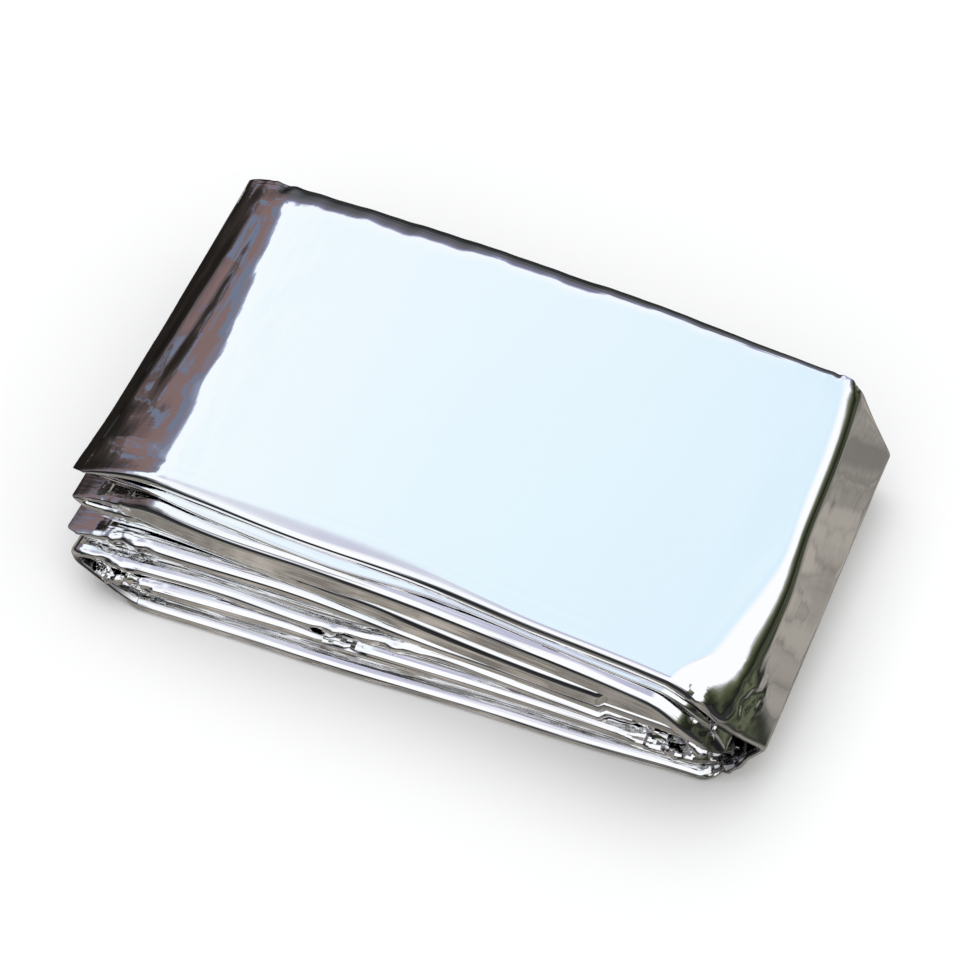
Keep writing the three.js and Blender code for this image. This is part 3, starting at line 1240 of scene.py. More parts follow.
    def apply(self, piece: bpy.types.Object, tree: bpy.types.NodeTree, film: bpy.types.Material) -> None:
        """Runs the tree on a piece and keeps the result as its plain mesh.

        Args:
            piece: Object to work on.
            tree: Tree built by this class.
            film: Material that the tree sets.
        """
        modifier = piece.modifiers.new("relief", "NODES")
        modifier.node_group = tree
        values = {**self.sizes(), "Finish": film}
        for item in tree.interface.items_tree:
            if item.in_out == "INPUT" and item.name in values:
                modifier[item.identifier] = values[item.name]
        graph = bpy.context.evaluated_depsgraph_get()
        made = bpy.data.meshes.new_from_object(piece.evaluated_get(graph), depsgraph=graph)
        piece.modifiers.remove(modifier)
        old = piece.data
        piece.data = made
        bpy.data.meshes.remove(old)
        made.name = piece.name


@dataclass(frozen=True)
class FilmMasks:
    """Shares at a strip's points that its relief and its finish read, among them the painted shade between
    the runs.

    Attributes:
        stack: The brick that the strip lies in.
        stations: Places along the strip.
        ripple_least: Share of the full ripple on the level film.
        ripple_left: X range in which the left bend's ripple fades.
        ripple_right: X range in which the ripple grows towards the nose.
        ripple_right_most: Its share at the nose.
        ripple_back: Y range in which it grows towards the back edge.
        ripple_back_most: Its share at the back edge.
        crumple_core: Share of a crumple's radii from which it fades.
        line_least: Share of the drawn lines away from the long edges.
        line_inside: Range of distances from the long edges in which they fade.
        line_top: How many times sooner they fade on the top run.
        shade_inside: Range behind the covering edge in which the painted shade grows.
        far_cover: How much further in the edge of the next run but one covers.
        own_cover: Least distance of the covering edge from the run's own.
        uncovered: Place of the covering edge where nothing covers.
        shade_left: Share of the painted shade that is left near the left end.
        shade_left_x: X range in which the painted shade grows from there.
        shade_tip_x: X range in which the painted shade starts at the left tips.
        shade_end: Painted shadow on the inner runs' right ends under the nose.
        shade_end_x: X range in which that painted shadow grows.
        shade_wrap: Painted shade on a wrap's inner side.
        shade_wrap_share: Shares of a wrap in which that painted shade starts and ends.
    """

    stack: Stack
    stations: Stations
    ripple_least: float = 0.12
    ripple_left: Pair = (-48.0, -39.0)
    ripple_right: Pair = (50.0, 60.0)
    ripple_right_most: float = 0.6
    ripple_back: Pair = (34.0, 40.0)
    ripple_back_most: float = 0.7
    crumple_core: float = 0.3
    line_least: float = 0.06
    line_inside: Pair = (3.0, 7.0)
    line_top: float = 2.8
    shade_inside: Pair = (0.3, 1.6)
    far_cover: float = 1.2
    own_cover: float = 0.5
    uncovered: float = 99.0
    shade_left: float = 0.25
    shade_left_x: Pair = (-62.0, -42.0)
    shade_tip_x: Pair = (-65.0, -58.0)
    shade_end: float = 0.75
    shade_end_x: Pair = (54.0, 60.0)
    shade_wrap: float = 0.85
    shade_wrap_share: Pair = (0.3, 0.2)

    def ripple(self, points: Array) -> Array:
        """Share of the full ripple at each point, largest on the left bend and the edges.

        Args:
            points: The points.

        Returns:
            The share of each point.
        """
        left = 1.0 - smoothstep(points[..., 0], *self.ripple_left)
        right = self.ripple_right_most * smoothstep(points[..., 0], *self.ripple_right)
        back = self.ripple_back_most * smoothstep(points[..., 1], *self.ripple_back)
        return lerp(self.ripple_least, 1.0, np.maximum(left, np.maximum(right, back)))

    def crumple(self, points: Array) -> Array:
        """Share of the full crumple at each point.

        Args:
            points: The points, station by station.

        Returns:
            The share of each point.
        """
        amount = np.zeros(points.shape[:2])
        run = self.stations.nearest_run()
        for crumple in CRUMPLES:
            first, last = crumple.runs
            away = np.linalg.norm((points - np.array(crumple.centre)) / np.array(crumple.radii), axis=-1)
            here = ((run >= first) & (run <= last))[:, None]
            near = 1.0 - smoothstep(away, self.crumple_core, 1.0)
            amount = np.maximum(amount, here * crumple.amount * near)
        return amount

    def lines(self, inside: Array) -> Array:
        """Share of the drawn lines at each point, none where the strip wraps an end.

        Args:
            inside: Distance of each point from the nearer long edge.

        Returns:
            The share of each point.
        """
        sooner = np.where(self.stations.on(TOP), self.line_top, 1.0)[:, None]
        plies = 1.0 - smoothstep(inside * sooner, *self.line_inside)
        return np.where(self.stations.wrapping()[:, None], 0.0, lerp(self.line_least, 1.0, plies))

    def covered(self, edge: Callable[[Array, Array], Array], side: float, y: Array, w: Array) -> Array:
        """Share by which points lie behind the edges of the runs over or under them.

        Args:
            edge: The stack's front or back edges.
            side: 1 for the front, -1 for the back.
            y: Places across the brick.
            w: Places across the thickness.

        Returns:
            The share of each point.
        """
        stations = self.stations
        run = stations.nearest_run()
        rows = np.arange(len(run))
        edges = np.stack([side * edge(np.full(len(run), index), stations.x) for index in range(len(RUNS))])
        room = 2
        padded = np.pad(edges, ((room, room), (0, 0)), constant_values=self.uncovered)

        def cover(step: int) -> Array:
            """Edge of what lies over or under each station, up to two runs away."""
            near, far = padded[run + room + step, rows], padded[run + room + 2 * step, rows]
            return np.minimum(near, far + self.far_cover)

        line = np.where(w * stations.upward() > 0.0, cover(1)[:, None], cover(-1)[:, None])
        line = np.maximum(line, edges[run, rows][:, None] + self.own_cover)
        return smoothstep(side * y - line, *self.shade_inside)

    def shade(self, y: Array, w: Array) -> Array:
        """Share of painted shade at each point, where it lies far in between the runs, under the nose or
        inside a wrap, where little light comes.

        Args:
            y: Places across the brick.
            w: Places across the thickness.

        Returns:
            The share of each point.
        """
        stations = self.stations
        # Painted shade: darkest where the runs over and under cover a point, lighter at the open left ends,
        # with painted shadow on the inner runs' right ends and inside the wraps.
        front = self.covered(self.stack.front, 1.0, y, w)
        painted_shade = np.minimum(front, self.covered(self.stack.back, -1.0, y, w))
        lighter = lerp(self.shade_left, 1.0, smoothstep(stations.x, *self.shade_left_x))
        painted_shade = painted_shade * (lighter * smoothstep(stations.x, *self.shade_tip_x))[:, None]
        inner = np.isin(stations.nearest_run(), INNER[:-1])
        ends = np.where(inner, self.shade_end * smoothstep(stations.x, *self.shade_end_x), 0.0)
        painted_shade = np.maximum(painted_shade, ends[:, None])
        start, end = self.shade_wrap_share
        middle = smoothstep(stations.share, 0.0, start) * smoothstep(1.0 - stations.share, 0.0, end)
        wrapped = (w < 0.0) * self.shade_wrap * middle[:, None]
        return np.where(stations.wrapping()[:, None], wrapped, painted_shade)


@dataclass(frozen=True)
class PlyLines:
    """Lines of the pressed plies along the front edges, raised in the points of the skin.

    Attributes:
        stations: Places along the strip.
        brow: Column of points at the front brow.
        slope: Slope of the lines.
        seed: Seed of the lowest run's lines.
        reach: Place along the brick up to which the lines are given, both ways.
        knots: Number of places between which a line goes straight.
        strengths: Least and largest strength of a line.
        top: Strength of the lines on the top run.
        upper: Strength of the lines on the upper side of an edge.
        lower: Strength of the lines under them.
        upper_from: Columns from the brow to where the upper side starts.
        inside: Range of distances from the front edge in which the lines end.
        nose_x: X range in which they end towards the nose.
        left_x: X range in which they start at the left end.
    """

    stations: Stations
    brow: int
    slope: float = 0.24
    seed: int = 100
    reach: float = 70.0
    knots: int = 12
    strengths: Pair = (0.2, 1.0)
    top: float = 0.2
    upper: float = 1.2
    lower: float = 0.55
    upper_from: int = 18
    inside: Pair = (4.0, 8.0)
    nose_x: Pair = (40.0, 50.0)
    left_x: Pair = (-63.0, -48.0)

    def heights(self) -> Array:
        """Random heights of the lines, one column a line.

        Returns:
            The heights at each station.
        """
        stations = self.stations
        columns = np.arange(2 * self.brow + 1)
        knots = np.linspace(-self.reach, self.reach, self.knots)
        rows = np.zeros((len(stations.x), len(columns)))
        share = stations.share
        for run in range(len(RUNS)):
            chance = np.random.default_rng(self.seed + run)
            heights = chance.normal(0.0, 1.0, (len(knots), len(columns)))
            heights *= chance.uniform(*self.strengths, (1, len(columns)))
            heights *= self.top if run == TOP else 1.0
            heights *= np.where(columns > self.brow + self.upper_from, self.upper, self.lower)
            lines = np.stack([np.interp(stations.x, knots, heights[:, c]) for c in columns], axis=1)
            weight = (stations.start == run) * (1.0 - share) + (stations.end == run) * share
            rows += lines * weight[:, None]
        return rows

    def raised(self, y: Array, w: Array, from_front: Array) -> tuple[Array, Array]:
        """Moves the points of the front edges in and out, so that the pressed plies show as lines.

        Args:
            y: Places across the brick.
            w: Places across the thickness.
            from_front: Distance of each point from the front edge.

        Returns:
            The new y and w.
        """
        stations = self.stations
        rows = self.heights()
        columns = slice(0, rows.shape[1])
        slope_y = np.gradient(y, axis=1)[:, columns]
        slope_w = np.gradient(w, axis=1)[:, columns]
        size = np.maximum(np.hypot(slope_y, slope_w), SMALL)
        depth = self.slope * size * rows * (1.0 - smoothstep(from_front[:, columns], *self.inside))
        nose = (stations.start == TOP) & (stations.x > self.nose_x[0])
        depth *= np.where(nose, 1.0 - smoothstep(stations.x, *self.nose_x), 1.0)[:, None]
        depth *= smoothstep(stations.x, *self.left_x)[:, None]
        y, w = y.copy(), w.copy()
        y[:, columns] -= depth * slope_w / size
        w[:, columns] += depth * slope_y / size
        return y, w


@dataclass(frozen=True)
class FilmStrip:
    """One length of the folded film, a closed skin over its pressed plies.

    Attributes:
        name: Name of the piece.
        first_run: Run that it starts with.
        last_run: Run that it ends with.
        across: Points across the left side of the strip.
        across_right: Points across its right side.
        shelf: Width of the strip of close points along the long edges.
        shelf_points: Points across that strip at the front edge.
        back_points: Points across it at the back edge, on the left and the right side.
        round_points: Points on each round of the front edge.
        round_skip: Step by which they are thinned out at the back edge.
        brow_points: Points between the rounds of the front edge.
        back_brow_points: Points between the rounds of the back edge.
        swell: How far a run closes the gap to its partner at the long edges.
        swell_inside: Distance from the long edges in which it does so.
        tip_inside: Least distance of a point from the crease of its left tip.
        soft_y: Range of -Y in which the ridge becomes softer.
        crease_end: Share of the nose's wrap up to which the top film's creases reach.
        crease_least: Share of its depth that a crease has at its ends.
        pocket_height: Distance from its gap in which a pocket pushes the runs.
        flare: How far the top film's front left corner is drawn out.
        flare_x: Range of -X in which it is drawn out.
        flare_y: Range of -Y in which it is drawn out.
    """

    name: str
    first_run: int
    last_run: int
    across: int = 8
    across_right: int = 6
    shelf: float = 8.5
    shelf_points: int = 12
    back_points: tuple[int, int] = (7, 4)
    round_points: int = 16
    round_skip: int = 3
    brow_points: int = 6
    back_brow_points: int = 3
    swell: float = 0.27
    swell_inside: float = 4.0
    tip_inside: float = 1e-4
    soft_y: Pair = (6.0, 30.0)
    crease_end: float = 0.35
    crease_least: float = 0.35
    pocket_height: float = 1.8
    flare: float = 0.6
    flare_x: Pair = (48.0, 66.0)
    flare_y: Pair = (16.0, 33.0)

    def profile(self, section: Section) -> tuple[Array, Array, int]:
        """Section of the strip as a ring of points at each station.

        Args:
            section: Sizes at each station.

        Returns:
            Y and w of the points, w to the left of the heading, and the column at the front brow.
        """
        half = section.thick / 2
        left = section.left * section.thick
        right = section.right * section.thick
        left_lip = section.left_lip * section.thick
        right_lip = section.right_lip * section.thick
        y_columns: list[Array] = []
        w_columns: list[Array] = []

        def straight(start: tuple[Array, Array], end: tuple[Array, Array], shares: Array) -> None:
            """Adds points between two places, each given by its y and w."""
            y_columns.extend(lerp(start[0], end[0], share) for share in shares)
            w_columns.extend(lerp(start[1], end[1], share) for share in shares)

        def quarter(edge: Array, depth: Array, side: float, radius: Array, angles: Array) -> None:
            """Adds points on the round between a side and the brow of an edge."""
            y_columns.extend(edge + depth * (1 - math.sin(angle)) for angle in angles)
            w_columns.extend(side * (half - radius * (1 - math.cos(angle))) for angle in angles)

        up = np.linspace(0.0, math.pi / 2, self.round_points)
        near = shares_up_to(self.shelf_points)
        front, back, shelf, skip = section.front, section.back, self.shelf, self.round_skip
        left_roll, right_roll = section.left_roll, section.right_roll
        left_points, right_points = self.back_points
        straight((front + shelf, -half), (front + right_roll, -half), near)
        quarter(front, right_roll, -1.0, right, up)
        brow_column = len(y_columns) + self.brow_points // 2
        straight((front, right - half), (front, half - left), shares_between(self.brow_points))
        quarter(front, left_roll, 1.0, left, up[::-1])
        straight((front + shelf, half), (front + left_roll, half), near[::-1])
        straight((front + shelf, half), (back - shelf, half), shares_between(self.across))
        straight((back - shelf, half), (back - left_lip, half), shares_up_to(left_points))
        quarter(back, -left_lip, 1.0, left_lip, up[::skip])
        straight((back, half - left_lip), (back, right_lip - half), shares_between(self.back_brow_points))
        quarter(back, -right_lip, -1.0, right_lip, up[::-skip])
        straight((back - shelf, -half), (back - right_lip, -half), shares_up_to(right_points)[::-1])
        straight((back - shelf, -half), (front + shelf, -half), shares_between(self.across_right))
        return np.stack(y_columns, axis=1), np.stack(w_columns, axis=1), brow_column

    def build(self, stack: Stack) -> bpy.types.Object:
        """Builds the piece's mesh with its masks and its map along the strip.

        Args:
            stack: The brick that the strip lies in.

        Returns:
            The object, linked to the scene.
        """
        stations = StripPath(stack).between(self.first_run, self.last_run)
        section = stack.section(stations)
        y, w, brow = self.profile(section)
        lengths = np.hypot(np.roll(y, -1, axis=1) - y, np.roll(w, -1, axis=1) - w)
        around = np.concatenate((np.zeros((len(y), 1)), np.cumsum(lengths, axis=1)), axis=1)
        around -= around[:, brow : brow + 1]
        from_front = y - section.front[:, None]
        inside = np.minimum(from_front, section.back[:, None] - y)
        w = w + self.partner_swell(stack, stations, w, inside)
        y, w = PlyLines(stations, brow).raised(y, w, from_front)
        upward = stations.upward()
        under = np.clip(0.5 + w * upward / section.thick[:, None], 0.0, 1.0)
        w = w + upward * stack.lift(stations, y, under)
        x, z = stations.level_places(w)
        soft_x, soft_z = StripPath(stack, SOFT_RIDGE).between(self.first_run, self.last_run).level_places(w)
        softness = smoothstep(-y, *self.soft_y)
        x, z = lerp(x, soft_x, softness), lerp(z, soft_z, softness)
        z = self.press_tips(stack, stations, x, y, z) + self.gape(x, y, z)
        points = stack.settle(x, y, z)
        points[..., 0] -= self.corner_flare(stations, points)
        nose = (stations.start == TOP) & (stations.end == BOTTOM) & (stations.share < self.crease_end)
        points[..., 2] += self.top_form(points) * ((stations.on(TOP) | nose)[:, None] & (w > 0.0))
        film = FilmMasks(stack, stations)
        masks = {
            "ripple": film.ripple(points),
            "crumple": film.crumple(points),
            "lines": film.lines(inside),
            # Painted shade between the runs, which the finish reads as a darker base colour.
            "shade": film.shade(y, w),
        }
        return self.skin(points, masks, stations.behind(), around)

    def corner_flare(self, stations: Stations, points: Array) -> Array:
        """How far the top film's front left corner is drawn out.

        Args:
            stations: Places along the strip.
            points: The points, station by station.

        Returns:
            The shift of each point towards -X.
        """
        left = smoothstep(-points[..., 0], *self.flare_x) * stations.on(UNDER_TOP, TOP)[:, None]
        return self.flare * smoothstep(-points[..., 1], *self.flare_y) * left

    def press_tips(self, stack: Stack, stations: Stations, x: Array, y: Array, z: Array) -> Array:
        """Heights of the points with sharp left tips and the inner runs' right ends pressed down.

        Args:
            stack: The brick that the strip lies in.
            stations: Places along the strip.
            x: Places along the brick.
            y: Places across it.
            z: Level heights.

        Returns:
            The new level heights.
        """
        pressed = z.copy()
        for tip in TIPS:
            rows = stations.on(tip.lower, tip.upper)
            if not rows.any():
                continue
            lower, upper = RUNS[tip.lower], RUNS[tip.upper]
            half = (lower.thick + upper.thick + stack.gap) / 2
            bottom = stack.middle(tip.lower) - lower.thick / 2
            backness = stack.backness(y[rows])
            crease = bottom + half + tip.lift * half * backness + tip.rise
            end = tip.reach + stack.left_shift * backness
            inside = np.maximum(x[rows] - end, self.tip_inside)
            above = z[rows] > bottom + half
            over = lerp(tip.over_front, tip.over_back, backness)
            share = np.clip(inside / np.where(above, over, tip.under), 0.0, 1.0)
            taper = 1.0 - (1.0 - share) ** stack.left_power
            arc = np.sqrt(1.0 - (1.0 - np.clip(inside / half, 0.0, 1.0)) ** 2)
            level = (z[rows] - bottom - half) * taper / arc
            pressed[rows] = lerp(crease, bottom + half, taper) + level
        height = np.clip(z / stack.middle(LOW_INNER), 0.0, 1.0) ** stack.low_tip_power
        rise = stack.low_tip_rise * smoothstep(-x, *stack.low_tip_x) * height
        pressed = pressed + np.where(stations.on(BOTTOM, LOW_INNER)[:, None], rise, 0.0)
        fall = stack.end_fall * smoothstep(x, *stack.end_x)
        return pressed * np.where(stations.on(*INNER)[:, None], 1.0 - fall, 1.0)

    def gape(self, x: Array, y: Array, z: Array) -> Array:
        """Rise of the points by which the runs gape at the front pockets.

        Args:
            x: Places along the brick.
            y: Places across it.
            z: Level heights.

        Returns:
            The rise of each point.
        """
        rise = np.zeros(x.shape)
        for pocket in POCKETS:
            at_x, at_y, at_z = pocket.centre
            away = ((x - at_x) / pocket.radii[0]) ** 2 + ((y - at_y) / pocket.radii[1]) ** 2
            near = np.exp(-away) * np.exp(-(((z - at_z) / self.pocket_height) ** 2))
            rise += pocket.gape * near * np.sign(z - at_z)
        return rise

    def partner_swell(self, stack: Stack, stations: Stations, w: Array, inside: Array) -> Array:
        """Shift in w by which paired runs close on each other along their long edges.

        Args:
            stack: The brick that the strip lies in.
            stations: Places along the strip.
            w: Places across the thickness.
            inside: Distance of each point from the nearer long edge.

        Returns:
            The shift of each point.
        """
        towards = np.array([run.partner.value for run in RUNS])
        upward = np.where(stack.heads_left(), -1.0, 1.0)
        start = (towards * upward)[stations.start]
        end = (towards * upward)[stations.end]
        side = np.where(stations.fold < 0, start, np.where(start == end, start, 0.0))[:, None]
        close = 1.0 - smoothstep(inside, 0.0, self.swell_inside)
        return self.swell * side * close * (np.sign(w) == side)

    def top_form(self, points: Array) -> Array:
        """Rise of the top film by its creases.

        Args:
            points: The points.

        Returns:
            The rise of each point.
        """
        rise = np.zeros(points.shape[:2])
        for crease in CREASES:
            first, last = np.array(crease.start), np.array(crease.end)
            span = last - first
            share = np.clip(((points[..., :2] - first) @ span) / (span @ span), 0.0, 1.0)
            away = np.linalg.norm(points[..., :2] - first - share[..., None] * span, axis=-1)
            taper = lerp(self.crease_least, 1.0, np.sin(math.pi * share))
            rise += crease.depth * taper * np.exp(-((away / crease.width) ** 2))
        return rise

    def skin(self, points: Array, masks: dict[str, Array], along: Array, around: Array) -> bpy.types.Object:
        """Closes a mesh over the rings of points.

        Args:
            points: Points of the rings, station by station.
            masks: Values of the named masks at the points.
            along: Length of strip behind each station.
            around: Length round each ring, with one column more than it has points.

        Returns:
            The object, linked to the scene.
        """
        count, size = points.shape[:2]
        ring, side = np.meshgrid(np.arange(count - 1), np.arange(size), indexing="ij")
        beside = (side + 1) % size
        here, after = ring * size, (ring + 1) * size
        quads = np.stack((here + side, after + side, after + beside, here + beside), axis=-1).reshape(-1, 4)
        steps = np.broadcast_to(along[:, None], around.shape)
        places = np.stack((steps, around), axis=-1) * MM
        quad_map = np.stack(
            (places[:-1, :-1], places[1:, :-1], places[1:, 1:], places[:-1, 1:]), axis=2
        ).reshape(-1, 2)
        ends = np.stack((points[0].mean(axis=0), points[-1].mean(axis=0)))
        vertices = np.concatenate((points.reshape(-1, 3), ends))
        edge = np.arange(size)
        follow = (edge + 1) % size
        last = (count - 1) * size
        first_fan = np.stack((np.full(size, count * size), edge, follow), axis=1)
        last_fan = np.stack((np.full(size, count * size + 1), last + follow, last + edge), axis=1)
        fans = np.concatenate((first_fan, last_fan))
        mesh = bpy.data.meshes.new(self.name)
        mesh.from_pydata((vertices * MM).tolist(), [], quads.tolist() + fans.tolist())
        flat_map = np.concatenate((quad_map, np.zeros((fans.size, 2))))
        mesh.uv_layers.new(name="strip").data.foreach_set("uv", flat_map.astype(np.float32).ravel())
        for name, values in masks.items():
            full = np.concatenate((values.ravel(), (0.0, 0.0))).astype(np.float32)
            mesh.attributes.new(name, "FLOAT", "POINT").data.foreach_set("value", full)
        mesh.shade_smooth()
        piece = bpy.data.objects.new(self.name, mesh)
        bpy.context.scene.collection.objects.link(piece)
        return piece

    def flat_size(self, stack: Stack) -> Pair:
        """Width and length of the strip laid flat.

        Args:
            stack: The brick that the strip lies in.

        Returns:
            Its mean width and its length in metres.
        """
        stations = StripPath(stack).between(self.first_run, self.last_run)
        section = stack.section(stations)
        width = float(np.mean(section.back - section.front + section.thick))
        length = float(np.sum(stations.steps()))
        return width * MM, length * MM


BACKWARD = (0.0, 1.0, 0.0)
RIGHTWARD = (1.0, 0.0, 0.0)
LEVEL = (1.0, 1.0, 0.0)


@dataclass(frozen=True)
class Dome:
    """Soft light dome: bright overhead, with a dim band near the floor that the film mirrors.

    Attributes:
        base: Height of the dim band in degrees, all round.
        rises: Bearing, power and height of what the band rises by towards some sides.
        waver: Scale and detail of the band's uneven edge.
        waver_share: Share by which the edge is uneven.
        facing: Bearing of the front.
        left: Colours of the band at the left and the back, from the floor up.
        front: Colours of the band at the front.
        right: Colours of the band at the right.
        back: Colours of the band right behind.
        back_turn: Range in which the band turns to the back's colours.
        right_turn: Range in which it turns to the right's colours, from the back.
        front_turn: Range in which it turns to the front's colours.
        right_over: Range in which it turns to the right's colours, from the front.
        streaks: Scale and detail of the streaks in the left band.
        streak_range: Range of their noise in which a streak starts.
        streak_low: Range of the band's height in which the streaks start.
        streak_high: Range of its height in which they end.
        streak: Colour of the streaks.
        sky: Colours of the sky from the front over the top to the back.
        left_sky: Colour of the sky at the left.
        left_from: Range, towards -X, in which it turns to that.
        middle_sky: Colour of the middle of the sky at the back.
        middle_from: Range of X in which it turns to that.
        middle_turn: Range from the front over the top in which it does.
        right_sky: Colour of the sky at the right.
        right_from: Range of X in which it turns to that.
        edge: Range of the band's height in which it goes over into the sky.
        plain: Colour that the camera sees past the floor.
    """

    base: float = 14.0
    rises: tuple[tuple[Triple, float, float], ...] = (
        (BACKWARD, 1.0, 23.0),
        (RIGHTWARD, 1.5, 9.0),
        ((-1.0, 0.0, 0.0), 2.0, 29.0),
        ((-0.23, -0.97, 0.0), 1.0, 8.0),
    )
    waver: Pair = (9.0, 3.0)
    waver_share: float = 0.3
    facing: Triple = (0.23, -0.97, 0.0)
    left: Stops = (
        (0.00, (0.010, 0.009, 0.008)),
        (0.17, (0.018, 0.015, 0.013)),
        (0.28, (0.040, 0.033, 0.030)),
        (0.40, (0.115, 0.082, 0.080)),
        (0.55, (0.225, 0.150, 0.148)),
        (0.72, (0.235, 0.160, 0.160)),
        (0.82, (0.210, 0.195, 0.250)),
        (0.92, (0.260, 0.310, 0.430)),
        (0.97, (0.520, 0.570, 0.740)),
        (1.00, (0.980, 1.010, 1.060)),
    )
    front: Stops = (
        (0.00, (0.010, 0.010, 0.010)),
        (0.25, (0.020, 0.021, 0.023)),
        (0.50, (0.100, 0.104, 0.116)),
        (0.75, (0.330, 0.340, 0.380)),
        (0.90, (0.660, 0.670, 0.730)),
        (1.00, (0.980, 0.985, 1.030)),
    )
    right: Stops = (
        (0.00, (0.012, 0.013, 0.010)),
        (0.30, (0.030, 0.036, 0.022)),
        (0.50, (0.075, 0.085, 0.048)),
        (0.66, (0.140, 0.145, 0.095)),
        (0.80, (0.280, 0.290, 0.250)),
        (0.92, (0.620, 0.640, 0.640)),
        (1.00, (1.000, 1.020, 1.040)),
    )
    back: Stops = (
        (0.00, (0.012, 0.013, 0.013)),
        (0.25, (0.040, 0.045, 0.046)),
        (0.50, (0.092, 0.098, 0.104)),
        (0.68, (0.150, 0.142, 0.168)),
        (0.84, (0.200, 0.205, 0.300)),
        (0.94, (0.420, 0.450, 0.640)),
        (1.00, (0.960, 0.990, 1.050)),
    )
    back_turn: Pair = (0.76, 0.93)
    right_turn: Pair = (0.3, 0.7)
    front_turn: Pair = (0.1, 0.6)
    right_over: Pair = (0.50, 0.75)
    streaks: Pair = (11.0, 2.0)
    streak_range: Pair = (0.52, 0.60)
    streak_low: Pair = (0.25, 0.45)
    streak_high: Pair = (0.80, 0.92)
    streak: Colour = (0.17, 0.20, 0.28, 1.0)
    sky: Stops = (
        (0.00, (1.06, 1.06, 1.06)),
        (0.33, (1.06, 1.06, 1.06)),
        (0.39, (0.90, 0.90, 0.98)),
        (0.44, (0.53, 0.53, 0.68)),
        (0.56, (0.54, 0.55, 0.71)),
        (0.62, (0.79, 0.92, 1.03)),
        (0.68, (0.83, 0.98, 1.05)),
        (0.71, (0.86, 0.98, 1.05)),
        (0.78, (1.00, 1.03, 1.05)),
    )
    left_sky: Colour = (0.97, 1.03, 1.05, 1.0)
    left_from: Pair = (0.17, 0.38)
    middle_sky: Colour = (0.76, 0.93, 1.04, 1.0)
    middle_from: Pair = (-0.20, -0.04)
    middle_turn: Pair = (0.58, 0.68)
    right_sky: Colour = (1.04, 1.05, 1.06, 1.0)
    right_from: Pair = (-0.04, 0.26)
    edge: Pair = (0.97, 1.08)
    plain: Colour = (0.95, 0.95, 0.95, 1.0)

    def bearing(self, graph: Graph, towards: Socket) -> Socket:
        """Output of a direction's level part, of length one."""
        level = graph.add("ShaderNodeVectorMath", {0: towards, 1: LEVEL}, operation="MULTIPLY").outputs[0]
        return graph.add("ShaderNodeVectorMath", {0: level}, operation="NORMALIZE").outputs[0]

    def band_share(self, graph: Graph, towards: Socket) -> Socket:
        """Output of the height above the floor as a share of the dim band's own height.

        Args:
            graph: Nodes of the world.
            towards: Direction that is looked in.

        Returns:
            The share, 1 at the band's upper edge.
        """
        bearing = self.bearing(graph, towards)
        band: Fill = self.base
        for direction, power, most in self.rises:
            facing = graph.maths("MAXIMUM", graph.vectors("DOT_PRODUCT", bearing, direction), 0.0)
            grown = graph.maths("MULTIPLY", graph.maths("POWER", facing, power), most)
            band = graph.maths("ADD", grown, band)
        uneven = graph.maths("MULTIPLY", graph.noise(towards, *self.waver), self.waver_share)
        uneven = graph.maths("ADD", uneven, 1.0 - self.waver_share / 2)
        rise = graph.maths("ARCSINE", graph.parts(towards)["Z"])
        rise = graph.maths("MULTIPLY", rise, math.degrees(1.0))
        return graph.maths("DIVIDE", rise, graph.maths("MULTIPLY", band, uneven))

    def band(self, graph: Graph, towards: Socket, share: Socket) -> Socket:
        """Output of the dim band's colours, side by side.

        Args:
            graph: Nodes of the world.
            towards: Direction that is looked in.
            share: Height as a share of the band's own height.

        Returns:
            The colour.
        """
        bearing = self.bearing(graph, towards)
        streaks = graph.soft(graph.noise(towards, *self.streaks), self.streak_range)
        streaks = graph.maths("MULTIPLY", streaks, graph.soft(share, self.streak_low))
        colour = graph.mix(streaks, graph.ramp(self.left, share), self.streak)
        colour = graph.mix(graph.soft(share, self.streak_high), colour, graph.ramp(self.left, share))
        sides = (
            (BACKWARD, self.back_turn, self.back),
            (RIGHTWARD, self.right_turn, self.right),
            (self.facing, self.front_turn, self.front),
            (RIGHTWARD, self.right_over, self.right),
        )
        for direction, limits, stops in sides:
            turned = graph.soft(graph.vectors("DOT_PRODUCT", bearing, direction), limits)
            colour = graph.mix(turned, colour, graph.ramp(stops, share))
        return colour

    def above(self, graph: Graph, towards: Socket) -> Socket:
        """Output of the sky's colours.

        Args:
            graph: Nodes of the world.
            towards: Direction that is looked in.

        Returns:
            The colour.
        """
        parts = graph.parts(towards)
        ahead = graph.vectors("DOT_PRODUCT", towards, self.facing)
        turn = graph.maths("DIVIDE", graph.maths("ARCTAN2", parts["Z"], ahead), math.pi)
        left = graph.soft(graph.maths("MULTIPLY", parts["X"], -1.0), self.left_from)
        colour = graph.mix(left, graph.ramp(self.sky, turn), self.left_sky)
        middle = graph.mix(graph.soft(parts["X"], self.middle_from), colour, self.middle_sky)
        colour = graph.mix(graph.soft(turn, self.middle_turn), colour, middle)
        return graph.mix(graph.soft(parts["X"], self.right_from), colour, self.right_sky)

    def build(self) -> None:
        """Sets the dome as the scene's world."""
        world = bpy.data.worlds.new("dome")
        world.use_nodes = True
        bpy.context.scene.world = world
        graph = Graph(world.node_tree)
        towards = graph.add("ShaderNodeTexCoord").outputs["Generated"]
        share = self.band_share(graph, towards)
        edge = graph.soft(share, self.edge)
        dome = graph.mix(edge, self.band(graph, towards, share), self.above(graph, towards))
        ray = graph.add("ShaderNodeLightPath").outputs["Is Camera Ray"]
        graph.fill(world.node_tree.nodes["Background"], {"Color": graph.mix(ray, dome, self.plain)})


